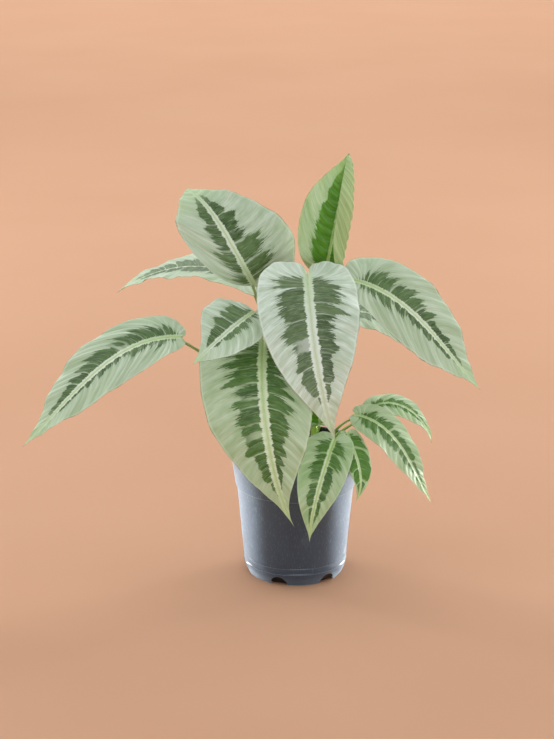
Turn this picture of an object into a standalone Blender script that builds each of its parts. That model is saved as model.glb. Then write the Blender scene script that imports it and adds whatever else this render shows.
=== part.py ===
"""Potted schismatoglottis: a nursery pot, its potting mix, and a clump of leaves on stalks.

Units are metres, +Z is up, and the front of the plant faces -Y. The origin is the middle of the
pot's underside, on the ground. Plant points are given in millimetres from the middle of the soil
surface, so the plant rises and spreads with the pot.
"""
import bpy
import bmesh
import numpy as np
from math import cos, pi, radians, sin

MM = 0.001

# ---- driving sizes -------------------------------------------------------------------------
POT_HEIGHT = 118 * MM
RIM_RADIUS = 59.5 * MM          # outside of the rim
GROWN_RADIUS = 59.5 * MM        # rim radius of the pot that the plant's spread was set out in
CROWN = (30 * MM, 110 * MM)     # heights above the soil between which the rim's pull fades out
FOOT_RADIUS = 43.0 * MM         # outside of the foot, on the ground
WALL = 1.2 * MM                 # pot wall
FLOOR = 1.6 * MM                # pot floor
COLLAR_HEIGHT = 35 * MM         # the wider band below the rim
COLLAR_STEP = 1.3 * MM          # how far the collar stands out from the body
SOIL_BELOW_RIM = 14 * MM
NOTCH_COUNT = 6
NOTCH_WIDTH = 16 * MM
NOTCH_HEIGHT = 8.5 * MM
NOTCH_DEPTH = 6 * MM            # how far a drain notch reaches in from the foot
FIRST_NOTCH = radians(40)       # turned right from the front
BLADE_THICKNESS = 0.8 * MM
STALK_FOOT = 2.2 * MM           # stalk radius in the soil, at full leaf size
STALK_NECK = 1.2 * MM           # stalk radius where it meets the blade
GAP = 0.3 * MM                  # clearance between pieces that touch

SOIL_TOP = POT_HEIGHT - SOIL_BELOW_RIM
COLLAR_FOOT = POT_HEIGHT - COLLAR_HEIGHT
BODY_TOP = RIM_RADIUS * 0.885   # body radius just under the collar
POT_STEPS = 72

# ---- the leaves ------------------------------------------------------------------------------
# rib:   four points that the midrib runs through, from the stalk to the tip
# face:  which way the upper side looks at the stalk and at the tip
# wide:  half width left and right of the midrib, looking at the upper side with the tip up
# fold:  degrees each half rises from the midrib;  curl: degrees it turns on from there
# lobe:  size of each lobe behind the stalk;  belly: where along the rib each half is widest
# tail:  last handle of each margin's curve, which sets how full the blade is near its tip
# cone:  1 for a curl that tightens where the blade narrows, as it does in a leaf unrolling
# stalk: where it leaves the soil;  size: stalk girth against a full grown one
LEAVES = {
    "tall_left": dict(
        rib=[(-37, 12, 160), (-57, 12, 198), (-79, 28, 228), (-97, 48, 239)],
        face=[(0.3, -0.9, 0.3), (-0.1, -0.45, 0.9)], wide=(34, 57),
        fold=(-6, 5), curl=(-25, -20), lobe=(-0.3, 0.8), belly=(0.66, 0.16),
        tail=((0.95, 0.35), (0.84, 0.14)), stalk=(-14, 10), size=1.0),
    "unrolling": dict(
        rib=[(26, 28, 165), (33, 24, 202), (39, 22, 235), (46, 27, 275)],
        face=[(-0.1, -0.95, 0.2), (-0.3, -0.9, 0.2)], wide=(32, 40),
        fold=(5, -10), curl=(15, 180), lobe=(0.1, 0.3), belly=(0.45, 0.5),
        tail=((0.88, 0.2), (0.95, 0.5)), cone=1, stalk=(4, 16), size=0.9),
    "centre": dict(
        rib=[(10, -25, 178), (12, -62, 155), (19, -90, 109), (34, -88, 48)],
        face=[(0, -0.45, 0.9), (0, -0.97, 0.2)], wide=(43, 45),
        fold=(8, 8), curl=(-25, -15), lobe=(0.9, 0.9), belly=(0.17, 0.18),
        tail=((0.75, 0.05), (0.74, 0.03)), stalk=(2, -4), size=1.0),
    "right": dict(
        rib=[(52, 1, 167), (88, 0, 150), (130, -4, 109), (164, -10, 70)],
        face=[(0, -0.6, 0.8), (0.5, -0.7, 0.4)], wide=(36, 31),
        fold=(8, 8), curl=(-15, -15), lobe=(0.5, 0.5), belly=(0.3, 0.42),
        tail=((0.82, 0.1), (0.82, 0.1)), stalk=(17, 5), size=1.0),
    "right_back": dict(
        rib=[(31, 54, 119), (60, 56, 123), (90, 50, 110), (110, 42, 86)],
        face=[(0, -0.1, 0.97), (0, -0.2, 0.95)], wide=(26, 30),
        fold=(5, 5), curl=(-10, -10), lobe=(0.4, 0.4), belly=(0.28, 0.28),
        stalk=(9, 26), size=0.8),
    "far_left": dict(
        rib=[(-100, -25, 123), (-144, -32, 115), (-193, -48, 79), (-238, -60, 34)],
        face=[(0, -0.42, 0.9), (-0.4, -0.6, 0.6)], wide=(30, 33),
        fold=(8, 8), curl=(-15, -15), lobe=(0.2, 0.2), belly=(0.33, 0.33),
        stalk=(-24, -1), size=1.0),
    "left_back": dict(
        rib=[(-40, 47, 153), (-80, 52, 166), (-125, 56, 160), (-162, 56, 141)],
        face=[(0, -0.05, 0.97), (0, -0.1, 0.95)], wide=(32, 35),
        fold=(5, 5), curl=(-10, -10), lobe=(1.0, 1.0), belly=(0.22, 0.22),
        stalk=(-16, 24), size=0.9),
    "left_middle": dict(
        rib=[(-36, -32, 148), (-52, -50, 141), (-72, -68, 128), (-88, -78, 115)],
        face=[(-0.3, -0.6, 0.7), (-0.3, -0.8, 0.4)], wide=(28, 37),
        fold=(8, 8), curl=(-10, -10), lobe=(0.3, 0.1), belly=(0.35, 0.12),
        tail=((0.8, 0.2), (0.62, 0.16)), stalk=(-15, -10), size=0.8),
    "drooping": dict(
        rib=[(-28, -35, 122), (-29, -68, 96), (-22, -88, 36), (-1, -78, -34)],
        face=[(-0.1, -0.45, 0.88), (-0.2, -0.97, 0.1)], wide=(43, 57),
        fold=(8, 8), curl=(-25, -30), lobe=(1.0, 1.0), belly=(0.27, 0.14),
        tail=((0.72, 0.0), (0.71, 0.0)), stalk=(-6, -20), size=1.0),
    "rim_front": dict(
        rib=[(34, -42, 35), (27, -62, 22), (17, -76, -10), (12, -72, -51)],
        face=[(0.1, -0.5, 0.85), (0.1, -0.95, 0.1)], wide=(21, 23),
        fold=(8, 8), curl=(-15, -15), lobe=(0.55, 0.45), belly=(0.22, 0.22),
        tail=((0.8, 0.0), (0.78, 0.0)), stalk=(11, -21), size=0.65),
    "rim_side": dict(
        rib=[(46, -25, 34), (52, -36, 20), (57, -47, 0), (53, -49, -21)],
        face=[(0.3, -0.5, 0.8), (0.4, -0.95, 0.1)], wide=(14, 13),
        fold=(8, 8), curl=(-15, -15), lobe=(0.4, 0.4), belly=(0.22, 0.22),
        stalk=(20, -13), size=0.5),
    "low_right": dict(
        rib=[(54, -8, 46), (80, -14, 34), (102, -18, 5), (122, -20, -33)],
        face=[(0.3, -0.5, 0.8), (0.6, -0.7, 0.3)], wide=(19, 20),
        fold=(8, 8), curl=(-15, -15), lobe=(0.3, 0.3), belly=(0.22, 0.22),
        stalk=(27, -3), size=0.65),
    "low_right_back": dict(
        rib=[(66, 18, 42), (85, 22, 47), (110, 22, 35), (124, 18, 10)],
        face=[(0, -0.3, 0.9), (0.6, -0.5, 0.5)], wide=(13, 15),
        fold=(8, 8), curl=(-15, -15), lobe=(0.3, 0.3), belly=(0.22, 0.22),
        stalk=(27, 12), size=0.6),
    "inner": dict(
        rib=[(22, -8, 38), (22, -18, 51), (24, -30, 61), (26, -40, 66)],
        face=[(0, -0.9, 0.2), (0, -0.9, 0.2)], wide=(14, 14),
        fold=(8, 8), curl=(-15, -15), lobe=(0.5, 0.5), belly=(0.22, 0.22),
        stalk=(11, -9), size=0.5),
}
TAIL = ((0.82, 0.06), (0.82, 0.06))     # for a leaf that gives no tail
TURN = 0.42                     # share of the margin that runs from the stalk to the widest point
BLADE_COLUMNS = 4               # columns of faces on each side of the midrib


# ---- small helpers ---------------------------------------------------------------------------
def material(name, colour, roughness):
    """A Principled material of one colour."""
    mat = bpy.data.materials.new(name)
    mat.use_nodes = True
    shader = mat.node_tree.nodes["Principled BSDF"]
    shader.inputs["Base Color"].default_value = (*colour, 1)
    shader.inputs["Roughness"].default_value = roughness
    mat.diffuse_color = (*colour, 1)
    return mat


def add_mesh(name, points, faces, mat):
    """Makes one named, smooth-shaded mesh object from points and faces."""
    mesh = bpy.data.meshes.new(name)
    mesh.from_pydata(np.asarray(points).tolist(), [], faces)
    mesh.polygons.foreach_set("use_smooth", [True] * len(mesh.polygons))
    mesh.materials.append(mat)
    obj = bpy.data.objects.new(name, mesh)
    bpy.context.collection.objects.link(obj)
    return obj


def face_outward(obj):
    """Turns every face of a closed mesh outward."""
    bm = bmesh.new()
    bm.from_mesh(obj.data)
    bmesh.ops.recalc_face_normals(bm, faces=bm.faces)
    bm.to_mesh(obj.data)
    bm.free()


def unit(vectors):
    """Vectors scaled to length one."""
    vectors = np.asarray(vectors, float)
    return vectors / np.linalg.norm(vectors, axis=-1, keepdims=True)


def bezier(handles, t):
    """Points of a cubic Bezier curve at the parameters t."""
    h, t = np.asarray(handles, float), np.asarray(t, float)[..., None]
    return (1-t)**3 * h[0] + 3*(1-t)**2*t * h[1] + 3*(1-t)*t*t * h[2] + t**3 * h[3]


# ---- pot and soil ----------------------------------------------------------------------------
def body_radius(z):
    """Outside radius of the pot's tapering body at height z."""
    return np.interp(z, [0, 0.06*POT_HEIGHT, COLLAR_FOOT], [FOOT_RADIUS, 1.067*FOOT_RADIUS, BODY_TOP])


def collar_radius(z):
    """Outside radius of the collar at height z."""
    return np.interp(z, [COLLAR_FOOT, POT_HEIGHT], [BODY_TOP + COLLAR_STEP, RIM_RADIUS - 1.0*MM])


def pot_profile():
    """Closed half section of the pot, from the middle of its underside round to the floor's top."""
    ring_low, ring_high = 0.094*POT_HEIGHT, 0.142*POT_HEIGHT
    outside = [(0, 0), (FOOT_RADIUS, 0)]
    outside += [(body_radius(z), z) for z in (0.06*POT_HEIGHT, ring_low)]
    outside += [(body_radius(ring_low) + 0.7*MM, ring_low + 0.4*MM),
                (body_radius(ring_low) + 0.4*MM, ring_low + 1.1*MM)]
    outside += [(body_radius(ring_high) + dr*MM, ring_high + dz*MM)
                for dr, dz in ((0, 0), (0.35, 0.3), (0.1, 0.8))]
    outside += [(BODY_TOP, COLLAR_FOOT), (BODY_TOP + COLLAR_STEP, COLLAR_FOOT + 0.4*MM)]
    top = POT_HEIGHT
    lip = [(collar_radius(top - 3*MM), top - 3*MM), (RIM_RADIUS - 0.2*MM, top - 2.6*MM),
           (RIM_RADIUS, top - 1.2*MM), (RIM_RADIUS - 0.6*MM, top - 0.2*MM),
           (RIM_RADIUS - 1.3*MM, top), (RIM_RADIUS - 2.2*MM, top - 0.6*MM)]
    inside = [(collar_radius(top - 4*MM) - WALL, top - 4*MM),
              (inner_radius(COLLAR_FOOT + 1.4*MM), COLLAR_FOOT + 1.4*MM),
              (BODY_TOP - WALL, COLLAR_FOOT),
              (inner_radius(0.06*POT_HEIGHT), 0.06*POT_HEIGHT),
              (inner_radius(FLOOR), FLOOR), (0, FLOOR)]
    return outside + lip + inside


def inner_radius(z):
    """Inside radius of the pot at height z."""
    return (collar_radius(z) if z > COLLAR_FOOT else body_radius(z)) - WALL


def revolve(name, profile, mat):
    """Solid made by turning a half section, which starts and ends on the axis, right round."""
    ring = np.array(profile[1:-1])
    turn = np.linspace(0, 2*pi, POT_STEPS, endpoint=False)
    points = np.stack([ring[:, 0] * np.cos(turn)[:, None], ring[:, 0] * np.sin(turn)[:, None],
                       np.broadcast_to(ring[:, 1], (POT_STEPS, len(ring)))], -1).reshape(-1, 3)
    start, end = len(points), len(points) + 1
    points = np.vstack([points, (0, 0, profile[0][1]), (0, 0, profile[-1][1])])
    faces = []
    for i in range(POT_STEPS):
        a, b = i * len(ring), (i + 1) % POT_STEPS * len(ring)
        faces += [(a+j, b+j, b+j+1, a+j+1) for j in range(len(ring) - 1)]
        faces += [(start, b, a), (end, a+len(ring)-1, b+len(ring)-1)]
    obj = add_mesh(name, points, faces, mat)
    face_outward(obj)
    return obj


def notch_cutter(mat):
    """Arched blocks that cut the drain notches from the foot of the pot, as one cutter."""
    arch = [(NOTCH_WIDTH/2 * cos(a), NOTCH_HEIGHT * sin(a)) for a in np.linspace(0, pi, 9)]
    outline = [(NOTCH_WIDTH/2, -5*MM)] + arch + [(-NOTCH_WIDTH/2, -5*MM)]
    points, faces, n = [], [], len(outline)
    for k in range(NOTCH_COUNT):
        bearing = FIRST_NOTCH + k * 2*pi/NOTCH_COUNT
        out, across = np.array([sin(bearing), -cos(bearing)]), np.array([cos(bearing), sin(bearing)])
        base = len(points)
        for reach in (FOOT_RADIUS - NOTCH_DEPTH, FOOT_RADIUS + 12*MM):
            points += [(*(out*reach + across*x), z) for x, z in outline]
        faces += [tuple(base+i for i in range(n))[::-1], tuple(base+n+i for i in range(n))]
        faces += [(base+i, base+(i+1) % n, base+n+(i+1) % n, base+n+i) for i in range(n)]
    cutter = add_mesh("drain_notch_cutter", points, faces, mat)
    face_outward(cutter)
    cutter.hide_render = True
    cutter.display_type = "WIRE"
    return cutter


def make_pot_and_soil(pot_mat, soil_mat):
    """The pot with its drain notches, and the potting mix that fills it."""
    pot = revolve("pot", pot_profile(), pot_mat)
    cut = pot.modifiers.new("drain notches", "BOOLEAN")
    cut.operation, cut.solver, cut.object = "DIFFERENCE", "EXACT", notch_cutter(pot_mat)
    low = FLOOR + GAP
    sides = [(inner_radius(z) - GAP, z) for z in (low, 0.06*POT_HEIGHT)]
    sides += [(BODY_TOP - WALL - GAP, COLLAR_FOOT + GAP)]
    sides += [(inner_radius(z) - GAP, z) for z in (COLLAR_FOOT + 1.4*MM + GAP, SOIL_TOP)]
    revolve("soil", [(0, low)] + sides + [(0, SOIL_TOP)], soil_mat)


# ---- leaves ----------------------------------------------------------------------------------
def place(points):
    """Plant points in millimetres from the soil's middle, moved to the pot's size in metres.

    Low points spread or close with the rim, so that leaves still clear it; the crown stays.
    """
    out = np.array(points, float) * MM
    reach = np.hypot(out[..., 0], out[..., 1])
    grow = np.where(reach < GROWN_RADIUS, RIM_RADIUS / GROWN_RADIUS,
                    1 + (RIM_RADIUS - GROWN_RADIUS) / np.maximum(reach, 1e-9))
    pull = np.interp(out[..., 2], CROWN, (1, 0))
    out[..., :2] *= (1 + (grow - 1) * pull)[..., None]
    out[..., 2] += SOIL_TOP
    return out


def midrib(leaf, count=120):
    """The cubic through the leaf's four rib points, with the length run at each of its points."""
    p = place(leaf["rib"])
    knots = np.concatenate([[0], np.cumsum(np.linalg.norm(np.diff(p, axis=0), axis=1))])
    knots, t = knots / knots[-1], np.linspace(0, 1, count)
    line = np.zeros((count, 3))
    for i in range(4):
        others = [j for j in range(4) if j != i]
        weight = np.prod([(t - knots[j]) / (knots[i] - knots[j]) for j in others], axis=0)
        line += weight[:, None] * p[i]
    run = np.concatenate([[0], np.cumsum(np.linalg.norm(np.diff(line, axis=0), axis=1))])
    return line, run


def flat_margin(leaf, half, round_):
    """Margin of one half pressed flat: along the rib in leaf lengths, out in half widths.

    One Bezier curve goes back round the lobe to the widest point and a second runs on to the tip.
    """
    lobe, belly, tail = leaf["lobe"][half], leaf["belly"][half], leaf.get("tail", TAIL)[half]
    back = [(0, 0), (-0.26*lobe, 0.10), (-0.20*lobe, 1.0), (belly, 1.0)]
    on = [(belly, 1.0), (belly + 0.55*(1-belly), 1.0), tail, (1.0, 0.0)]
    return np.where((round_ < TURN)[..., None], bezier(back, np.clip(round_/TURN, 0, 1)),
                    bezier(on, np.clip((round_-TURN)/(1-TURN), 0, 1)))


def flat_leaf(leaf, half, round_, across):
    """One half pressed flat, as a grid of veins.

    A vein leaves the rib for each point of the margin and sweeps forward to it: those of the lobe
    start close together by the stalk, the others at even steps up to the tip.
    """
    edge, belly = flat_margin(leaf, half, round_), leaf["belly"][half]
    past = np.clip((edge[..., 0] - belly) / (1-belly), 0, 1)
    foot = np.where(round_ < TURN, 0.10 * (round_/TURN)**2,
                    0.10 + 0.90 * (0.35*past + 0.65*past**1.5))
    bend = 2 * across * (1-across)
    along = (1-across)**2 * foot + bend * (0.8*foot + 0.2*edge[..., 0]) + across**2 * edge[..., 0]
    return along, bend * 0.55*edge[..., 1] + across**2 * edge[..., 1]


def rib_frame(leaf, along):
    """Point, forward, sideways and upper-side directions of the rib at each place along it."""
    line, run = midrib(leaf)
    at = np.clip(along, 0, 1) * run[-1]
    slope = unit(np.gradient(line, axis=0))
    point = np.stack([np.interp(at, run, line[:, k]) for k in range(3)], -1)
    ahead = unit(np.stack([np.interp(at, run, slope[:, k]) for k in range(3)], -1))
    point = point + np.minimum(along, 0)[..., None] * run[-1] * ahead
    share = np.clip(along, 0, 1)[..., None]
    up = unit(leaf["face"][0]) * (1-share) + unit(leaf["face"][1]) * share
    up = unit(up - (up*ahead).sum(-1, keepdims=True) * ahead)
    return point, ahead, np.cross(ahead, up), up


def blade_points(leaf, round_, across, side):
    """Middle surface of the blade; each half is an arc that rises by fold and turns on by curl."""
    half = 0 if side < 0 else 1
    along, out = flat_leaf(leaf, half, round_, across)
    point, _, sideways, up = rib_frame(leaf, along)
    width, fold = leaf["wide"][half] * MM, radians(leaf["fold"][half])
    rate = radians(leaf["curl"][half]) / width
    if leaf.get("cone"):
        edge = flat_margin(leaf, half, np.linspace(TURN, 1, 80))
        rate = rate / np.clip(np.interp(along, edge[:, 0], edge[:, 1]), 0.15, 1)
    turn = fold + rate * out * width
    x, z = (np.sin(turn) - sin(fold)) / rate, (cos(fold) - np.cos(turn)) / rate
    return point + side * sideways * x[..., None] + up * z[..., None]


def make_blade(name, leaf, mat):
    """A blade: its middle surface as a grid of veins, thickened by a Solidify modifier."""
    rows = 14 if leaf["size"] > 0.7 else 10
    round_ = np.linspace(0, 1, rows + 1)[1:-1]
    across = np.arange(1, BLADE_COLUMNS + 1) / BLADE_COLUMNS
    grid_round, grid_across = np.meshgrid(round_, across, indexing="ij")
    left = blade_points(leaf, grid_round, grid_across, -1)[:, ::-1]
    right = blade_points(leaf, grid_round, grid_across, 1)
    rib = blade_points(leaf, round_, 0*round_, 1)[:, None]
    ends = [blade_points(leaf, np.array([t]), np.array([0.0]), 1)[0] for t in (0.0, 1.0)]
    grid = np.concatenate([left, rib, right], axis=1)
    wide = grid.shape[1]
    points = np.vstack([grid.reshape(-1, 3), ends])
    faces = [(i*wide+j, i*wide+j+1, (i+1)*wide+j+1, (i+1)*wide+j)
             for i in range(len(round_)-1) for j in range(wide-1)]
    stalk_end, tip, last = len(points)-2, len(points)-1, (len(round_)-1)*wide
    faces += [(stalk_end, j+1, j) for j in range(wide-1)]
    faces += [(tip, last+j, last+j+1) for j in range(wide-1)]
    blade = add_mesh(name + "_blade", points, faces, mat)
    thicken = blade.modifiers.new("thickness", "SOLIDIFY")
    thicken.thickness, thicken.offset = BLADE_THICKNESS, 0
    return blade


def make_stalk(name, leaf, mat):
    """A stalk: a tapering round curve from the soil to just under the blade's rib."""
    neck, foot = STALK_NECK * leaf["size"]**0.5, STALK_FOOT * leaf["size"]**0.5
    (point,), (ahead,), _, (up,) = rib_frame(leaf, np.array([0.012]))
    enter = unit(ahead + np.array([0, 0, 0.6]))
    drop = BLADE_THICKNESS/2 + GAP + neck + 0.4*MM
    end = point - up * drop
    start = place((*leaf["stalk"], 0)) + np.array([0, 0, GAP])
    height = end[2] - start[2]
    curve = bpy.data.curves.new(name + "_stalk", "CURVE")
    curve.dimensions, curve.resolution_u, curve.twist_mode = "3D", 12, "MINIMUM"
    curve.bevel_depth, curve.bevel_resolution, curve.use_fill_caps = 1.0, 2, True
    curve.materials.append(mat)
    spline = curve.splines.new("BEZIER")
    spline.bezier_points.add(1)
    first, final = spline.bezier_points
    for knot in (first, final):
        knot.handle_left_type = knot.handle_right_type = "FREE"
    first.co, first.radius = start, foot
    first.handle_left, first.handle_right = start - (0, 0, 5*MM), start + (0, 0, 0.6*height)
    final.co, final.radius = end, neck
    reach = min(18*MM, 0.4*height)
    final.handle_left, final.handle_right = end - enter*reach, end + enter*reach
    stalk = bpy.data.objects.new(name + "_stalk", curve)
    bpy.context.collection.objects.link(stalk)
    return stalk


# ---- build -----------------------------------------------------------------------------------
for old in list(bpy.data.objects):
    bpy.data.objects.remove(old, do_unlink=True)

pot_plastic = material("pot_plastic", (0.06, 0.065, 0.07), 0.3)
potting_mix = material("potting_mix", (0.03, 0.02, 0.015), 0.95)
leaf_green = material("leaf_blade", (0.36, 0.45, 0.28), 0.45)
stalk_green = material("leaf_stalk", (0.25, 0.33, 0.12), 0.4)

make_pot_and_soil(pot_plastic, potting_mix)
for leaf_name, shape in LEAVES.items():
    make_blade(leaf_name, shape, leaf_green)
    make_stalk(leaf_name, shape, stalk_green)
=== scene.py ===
# %% [markdown]
# A potted schismatoglottis: fourteen silver-banded leaves on slim stalks, growing from potting
# mix in a dark nursery pot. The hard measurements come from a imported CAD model, the frame. Each
# cell below makes one piece or one finish, and each finished piece takes the place of a plain
# CAD node.

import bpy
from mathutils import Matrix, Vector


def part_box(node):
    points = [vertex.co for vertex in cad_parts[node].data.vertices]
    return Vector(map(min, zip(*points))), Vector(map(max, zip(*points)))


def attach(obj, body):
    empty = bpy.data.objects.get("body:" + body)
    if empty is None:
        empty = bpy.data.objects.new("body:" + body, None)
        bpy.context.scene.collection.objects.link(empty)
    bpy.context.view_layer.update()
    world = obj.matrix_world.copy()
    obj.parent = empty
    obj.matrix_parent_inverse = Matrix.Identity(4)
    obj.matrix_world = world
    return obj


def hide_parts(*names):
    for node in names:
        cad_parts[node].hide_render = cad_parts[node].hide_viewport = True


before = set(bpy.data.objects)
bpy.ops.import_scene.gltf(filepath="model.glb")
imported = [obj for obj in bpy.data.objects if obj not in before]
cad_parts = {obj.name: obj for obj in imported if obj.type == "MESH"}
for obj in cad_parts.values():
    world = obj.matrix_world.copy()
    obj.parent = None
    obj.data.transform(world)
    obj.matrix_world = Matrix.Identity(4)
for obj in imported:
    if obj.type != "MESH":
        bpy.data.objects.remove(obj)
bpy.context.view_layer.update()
print("CAD nodes:", len(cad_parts))

# %% [markdown]
# Blender works in metres, but plants and pots are easier to think of in millimetres, so sizes
# are written as a number times MM. Colours are written as sRGB hex values, as in a paint
# program. A shader wants linear light, so one function turns every one of them.

# %% Units and colours
import bpy
import numpy as np
from functools import partial
from math import cos, pi, radians, sin
from types import SimpleNamespace

MM = 0.001
POT_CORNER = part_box("pot")[1]
RIM_RADIUS, POT_HEIGHT = POT_CORNER.x, POT_CORNER.z
SOIL_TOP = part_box("soil")[1].z


def colour(code):
    """sRGB hex code to linear RGBA: v/12.92 for dark values, ((v+0.055)/1.055)^2.4 for others."""
    v = np.array([int(code[i:i+2], 16) for i in (1, 3, 5)]) / 255
    linear = np.where(v <= 0.04045, v / 12.92, ((v + 0.055) / 1.055) ** 2.4)
    return (*linear.tolist(), 1.0)


print(f"rim radius {RIM_RADIUS/MM:.1f} mm, pot height {POT_HEIGHT/MM:.1f} mm, "
      f"soil surface at {SOIL_TOP/MM:.1f} mm")

# %% [markdown]
# Every shape here is one closed skin: a row of rings with a single point at each end, like a
# stocking tied at both ends. A leaf is a skin whose rings are very flat, a stalk is one whose
# rings are round, and a pot is one whose rings first widen and then come back down inside. With
# one maker for all of them, no piece can have an open edge or a face turned inside out.

# %% The skin maker


def skin(rings, start, end):
    """Closed surface through rings (row, place on ring, xyz), with a point before and after.

    Each quad joins two neighbours on one ring to the same two on the next ring.
    """
    rows, count = rings.shape[:2]
    points = np.vstack([rings.reshape(-1, 3), [start, end]])
    k = np.arange(count)
    after = (k + 1) % count
    base = np.arange(rows - 1)[:, None] * count
    quads = np.stack([base + k, base + after, base + after + count, base + k + count], -1)
    first, last, top = rows*count, rows*count + 1, (rows-1)*count
    caps = np.stack([np.full(count, first), after, k], -1)
    ends = np.stack([top + k, top + after, np.full(count, last)], -1)
    return points, quads.reshape(-1, 4), np.vstack([caps, ends])


def make_piece(name, points, quads, tris, values=None):
    """Mesh object at the origin from points, quads and triangles, with named point values."""
    mesh = bpy.data.meshes.new(name)
    mesh.vertices.add(len(points))
    mesh.vertices.foreach_set("co", np.asarray(points, np.float32).ravel())
    corners = np.concatenate([quads.ravel(), tris.ravel()]).astype(np.int32)
    mesh.loops.add(len(corners))
    mesh.loops.foreach_set("vertex_index", corners)
    starts = np.concatenate([np.arange(len(quads))*4, len(quads)*4 + np.arange(len(tris))*3])
    mesh.polygons.add(len(starts))
    mesh.polygons.foreach_set("loop_start", starts.astype(np.int32))
    mesh.update(calc_edges=True)
    mesh.polygons.foreach_set("use_smooth", [True] * len(mesh.polygons))
    for key, value in (values or {}).items():
        attribute = mesh.attributes.new(key, "FLOAT", "POINT")
        attribute.data.foreach_set("value", np.asarray(value, np.float32))
    piece = bpy.data.objects.new(name, mesh)
    bpy.context.collection.objects.link(piece)
    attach(piece, "root")
    return piece


print("skin maker ready")

# %% [markdown]
# A material is a small network of nodes. This one helper adds a node, fills its sockets with
# values or with links from earlier nodes, and hands back the output that the next node needs.
# The values stand in the order of the node's sockets, or are given by the sockets' names.

# %% The node helper


def add_node(tree, kind, inputs=(), output=0, stops=(), **settings):
    """Adds one node; inputs are values or other nodes' outputs, stops the places of a ramp."""
    node = tree.nodes.new("ShaderNode" + kind)
    for key, value in settings.items():
        setattr(node, key, value)
    in_order = [socket for socket in node.inputs if socket.enabled]
    named = isinstance(inputs, dict)
    sockets = [node.inputs[name] for name in inputs] if named else in_order
    for socket, value in zip(sockets, inputs.values() if named else inputs):
        if isinstance(value, bpy.types.NodeSocket):
            tree.links.new(value, socket)
        else:
            socket.default_value = value
    if stops:
        ramp = node.color_ramp.elements
        while len(ramp) < len(stops):
            ramp.new(0.5)
        for element, (position, value) in zip(ramp, stops):
            element.position = position
            element.color = value if isinstance(value, tuple) else (value, value, value, 1)
    if isinstance(output, str):
        return node.outputs[output]
    return [socket for socket in node.outputs if socket.enabled][output]


def new_material(name):
    """Empty node material with its Principled shader, ready for its sockets to be set."""
    material = bpy.data.materials.new(name)
    material.use_nodes = True
    tree = material.node_tree
    return material, tree, tree.nodes["Principled BSDF"]


print("node helper ready")

# %% [markdown]
# The leaves. Each one is drawn by its midrib, the pale line that the stalk runs into: four
# points in millimetres from the middle of the soil surface, the first where the stalk meets the
# blade and the last at the tip. The other numbers say which way the upper side faces at the
# stalk and at the tip, how wide each half is, how far each half rises from the rib and rolls on
# towards its margin, how deep the lobes by the stalk are, how far along each half is widest, and
# how full it stays near the tip, which is its tail. Where there are two numbers, the left half
# comes first. cone is 1 for a leaf whose roll narrows towards the tip.
#
# stalk is the place in the soil, in millimetres, that the stalk rises from. size is 1 for a
# full-sized leaf, and a smaller one has a thinner stalk and keel and a flatter wave in its
# margin. youth runs from 0 for a grown leaf to 1 for one that has just unrolled,
# grey from 0 for a green leaf to 1 for the most silvery. band scales the dark band, in both
# halves or in each, and pale is the half width in millimetres of the pale stripe on the rib.

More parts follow.
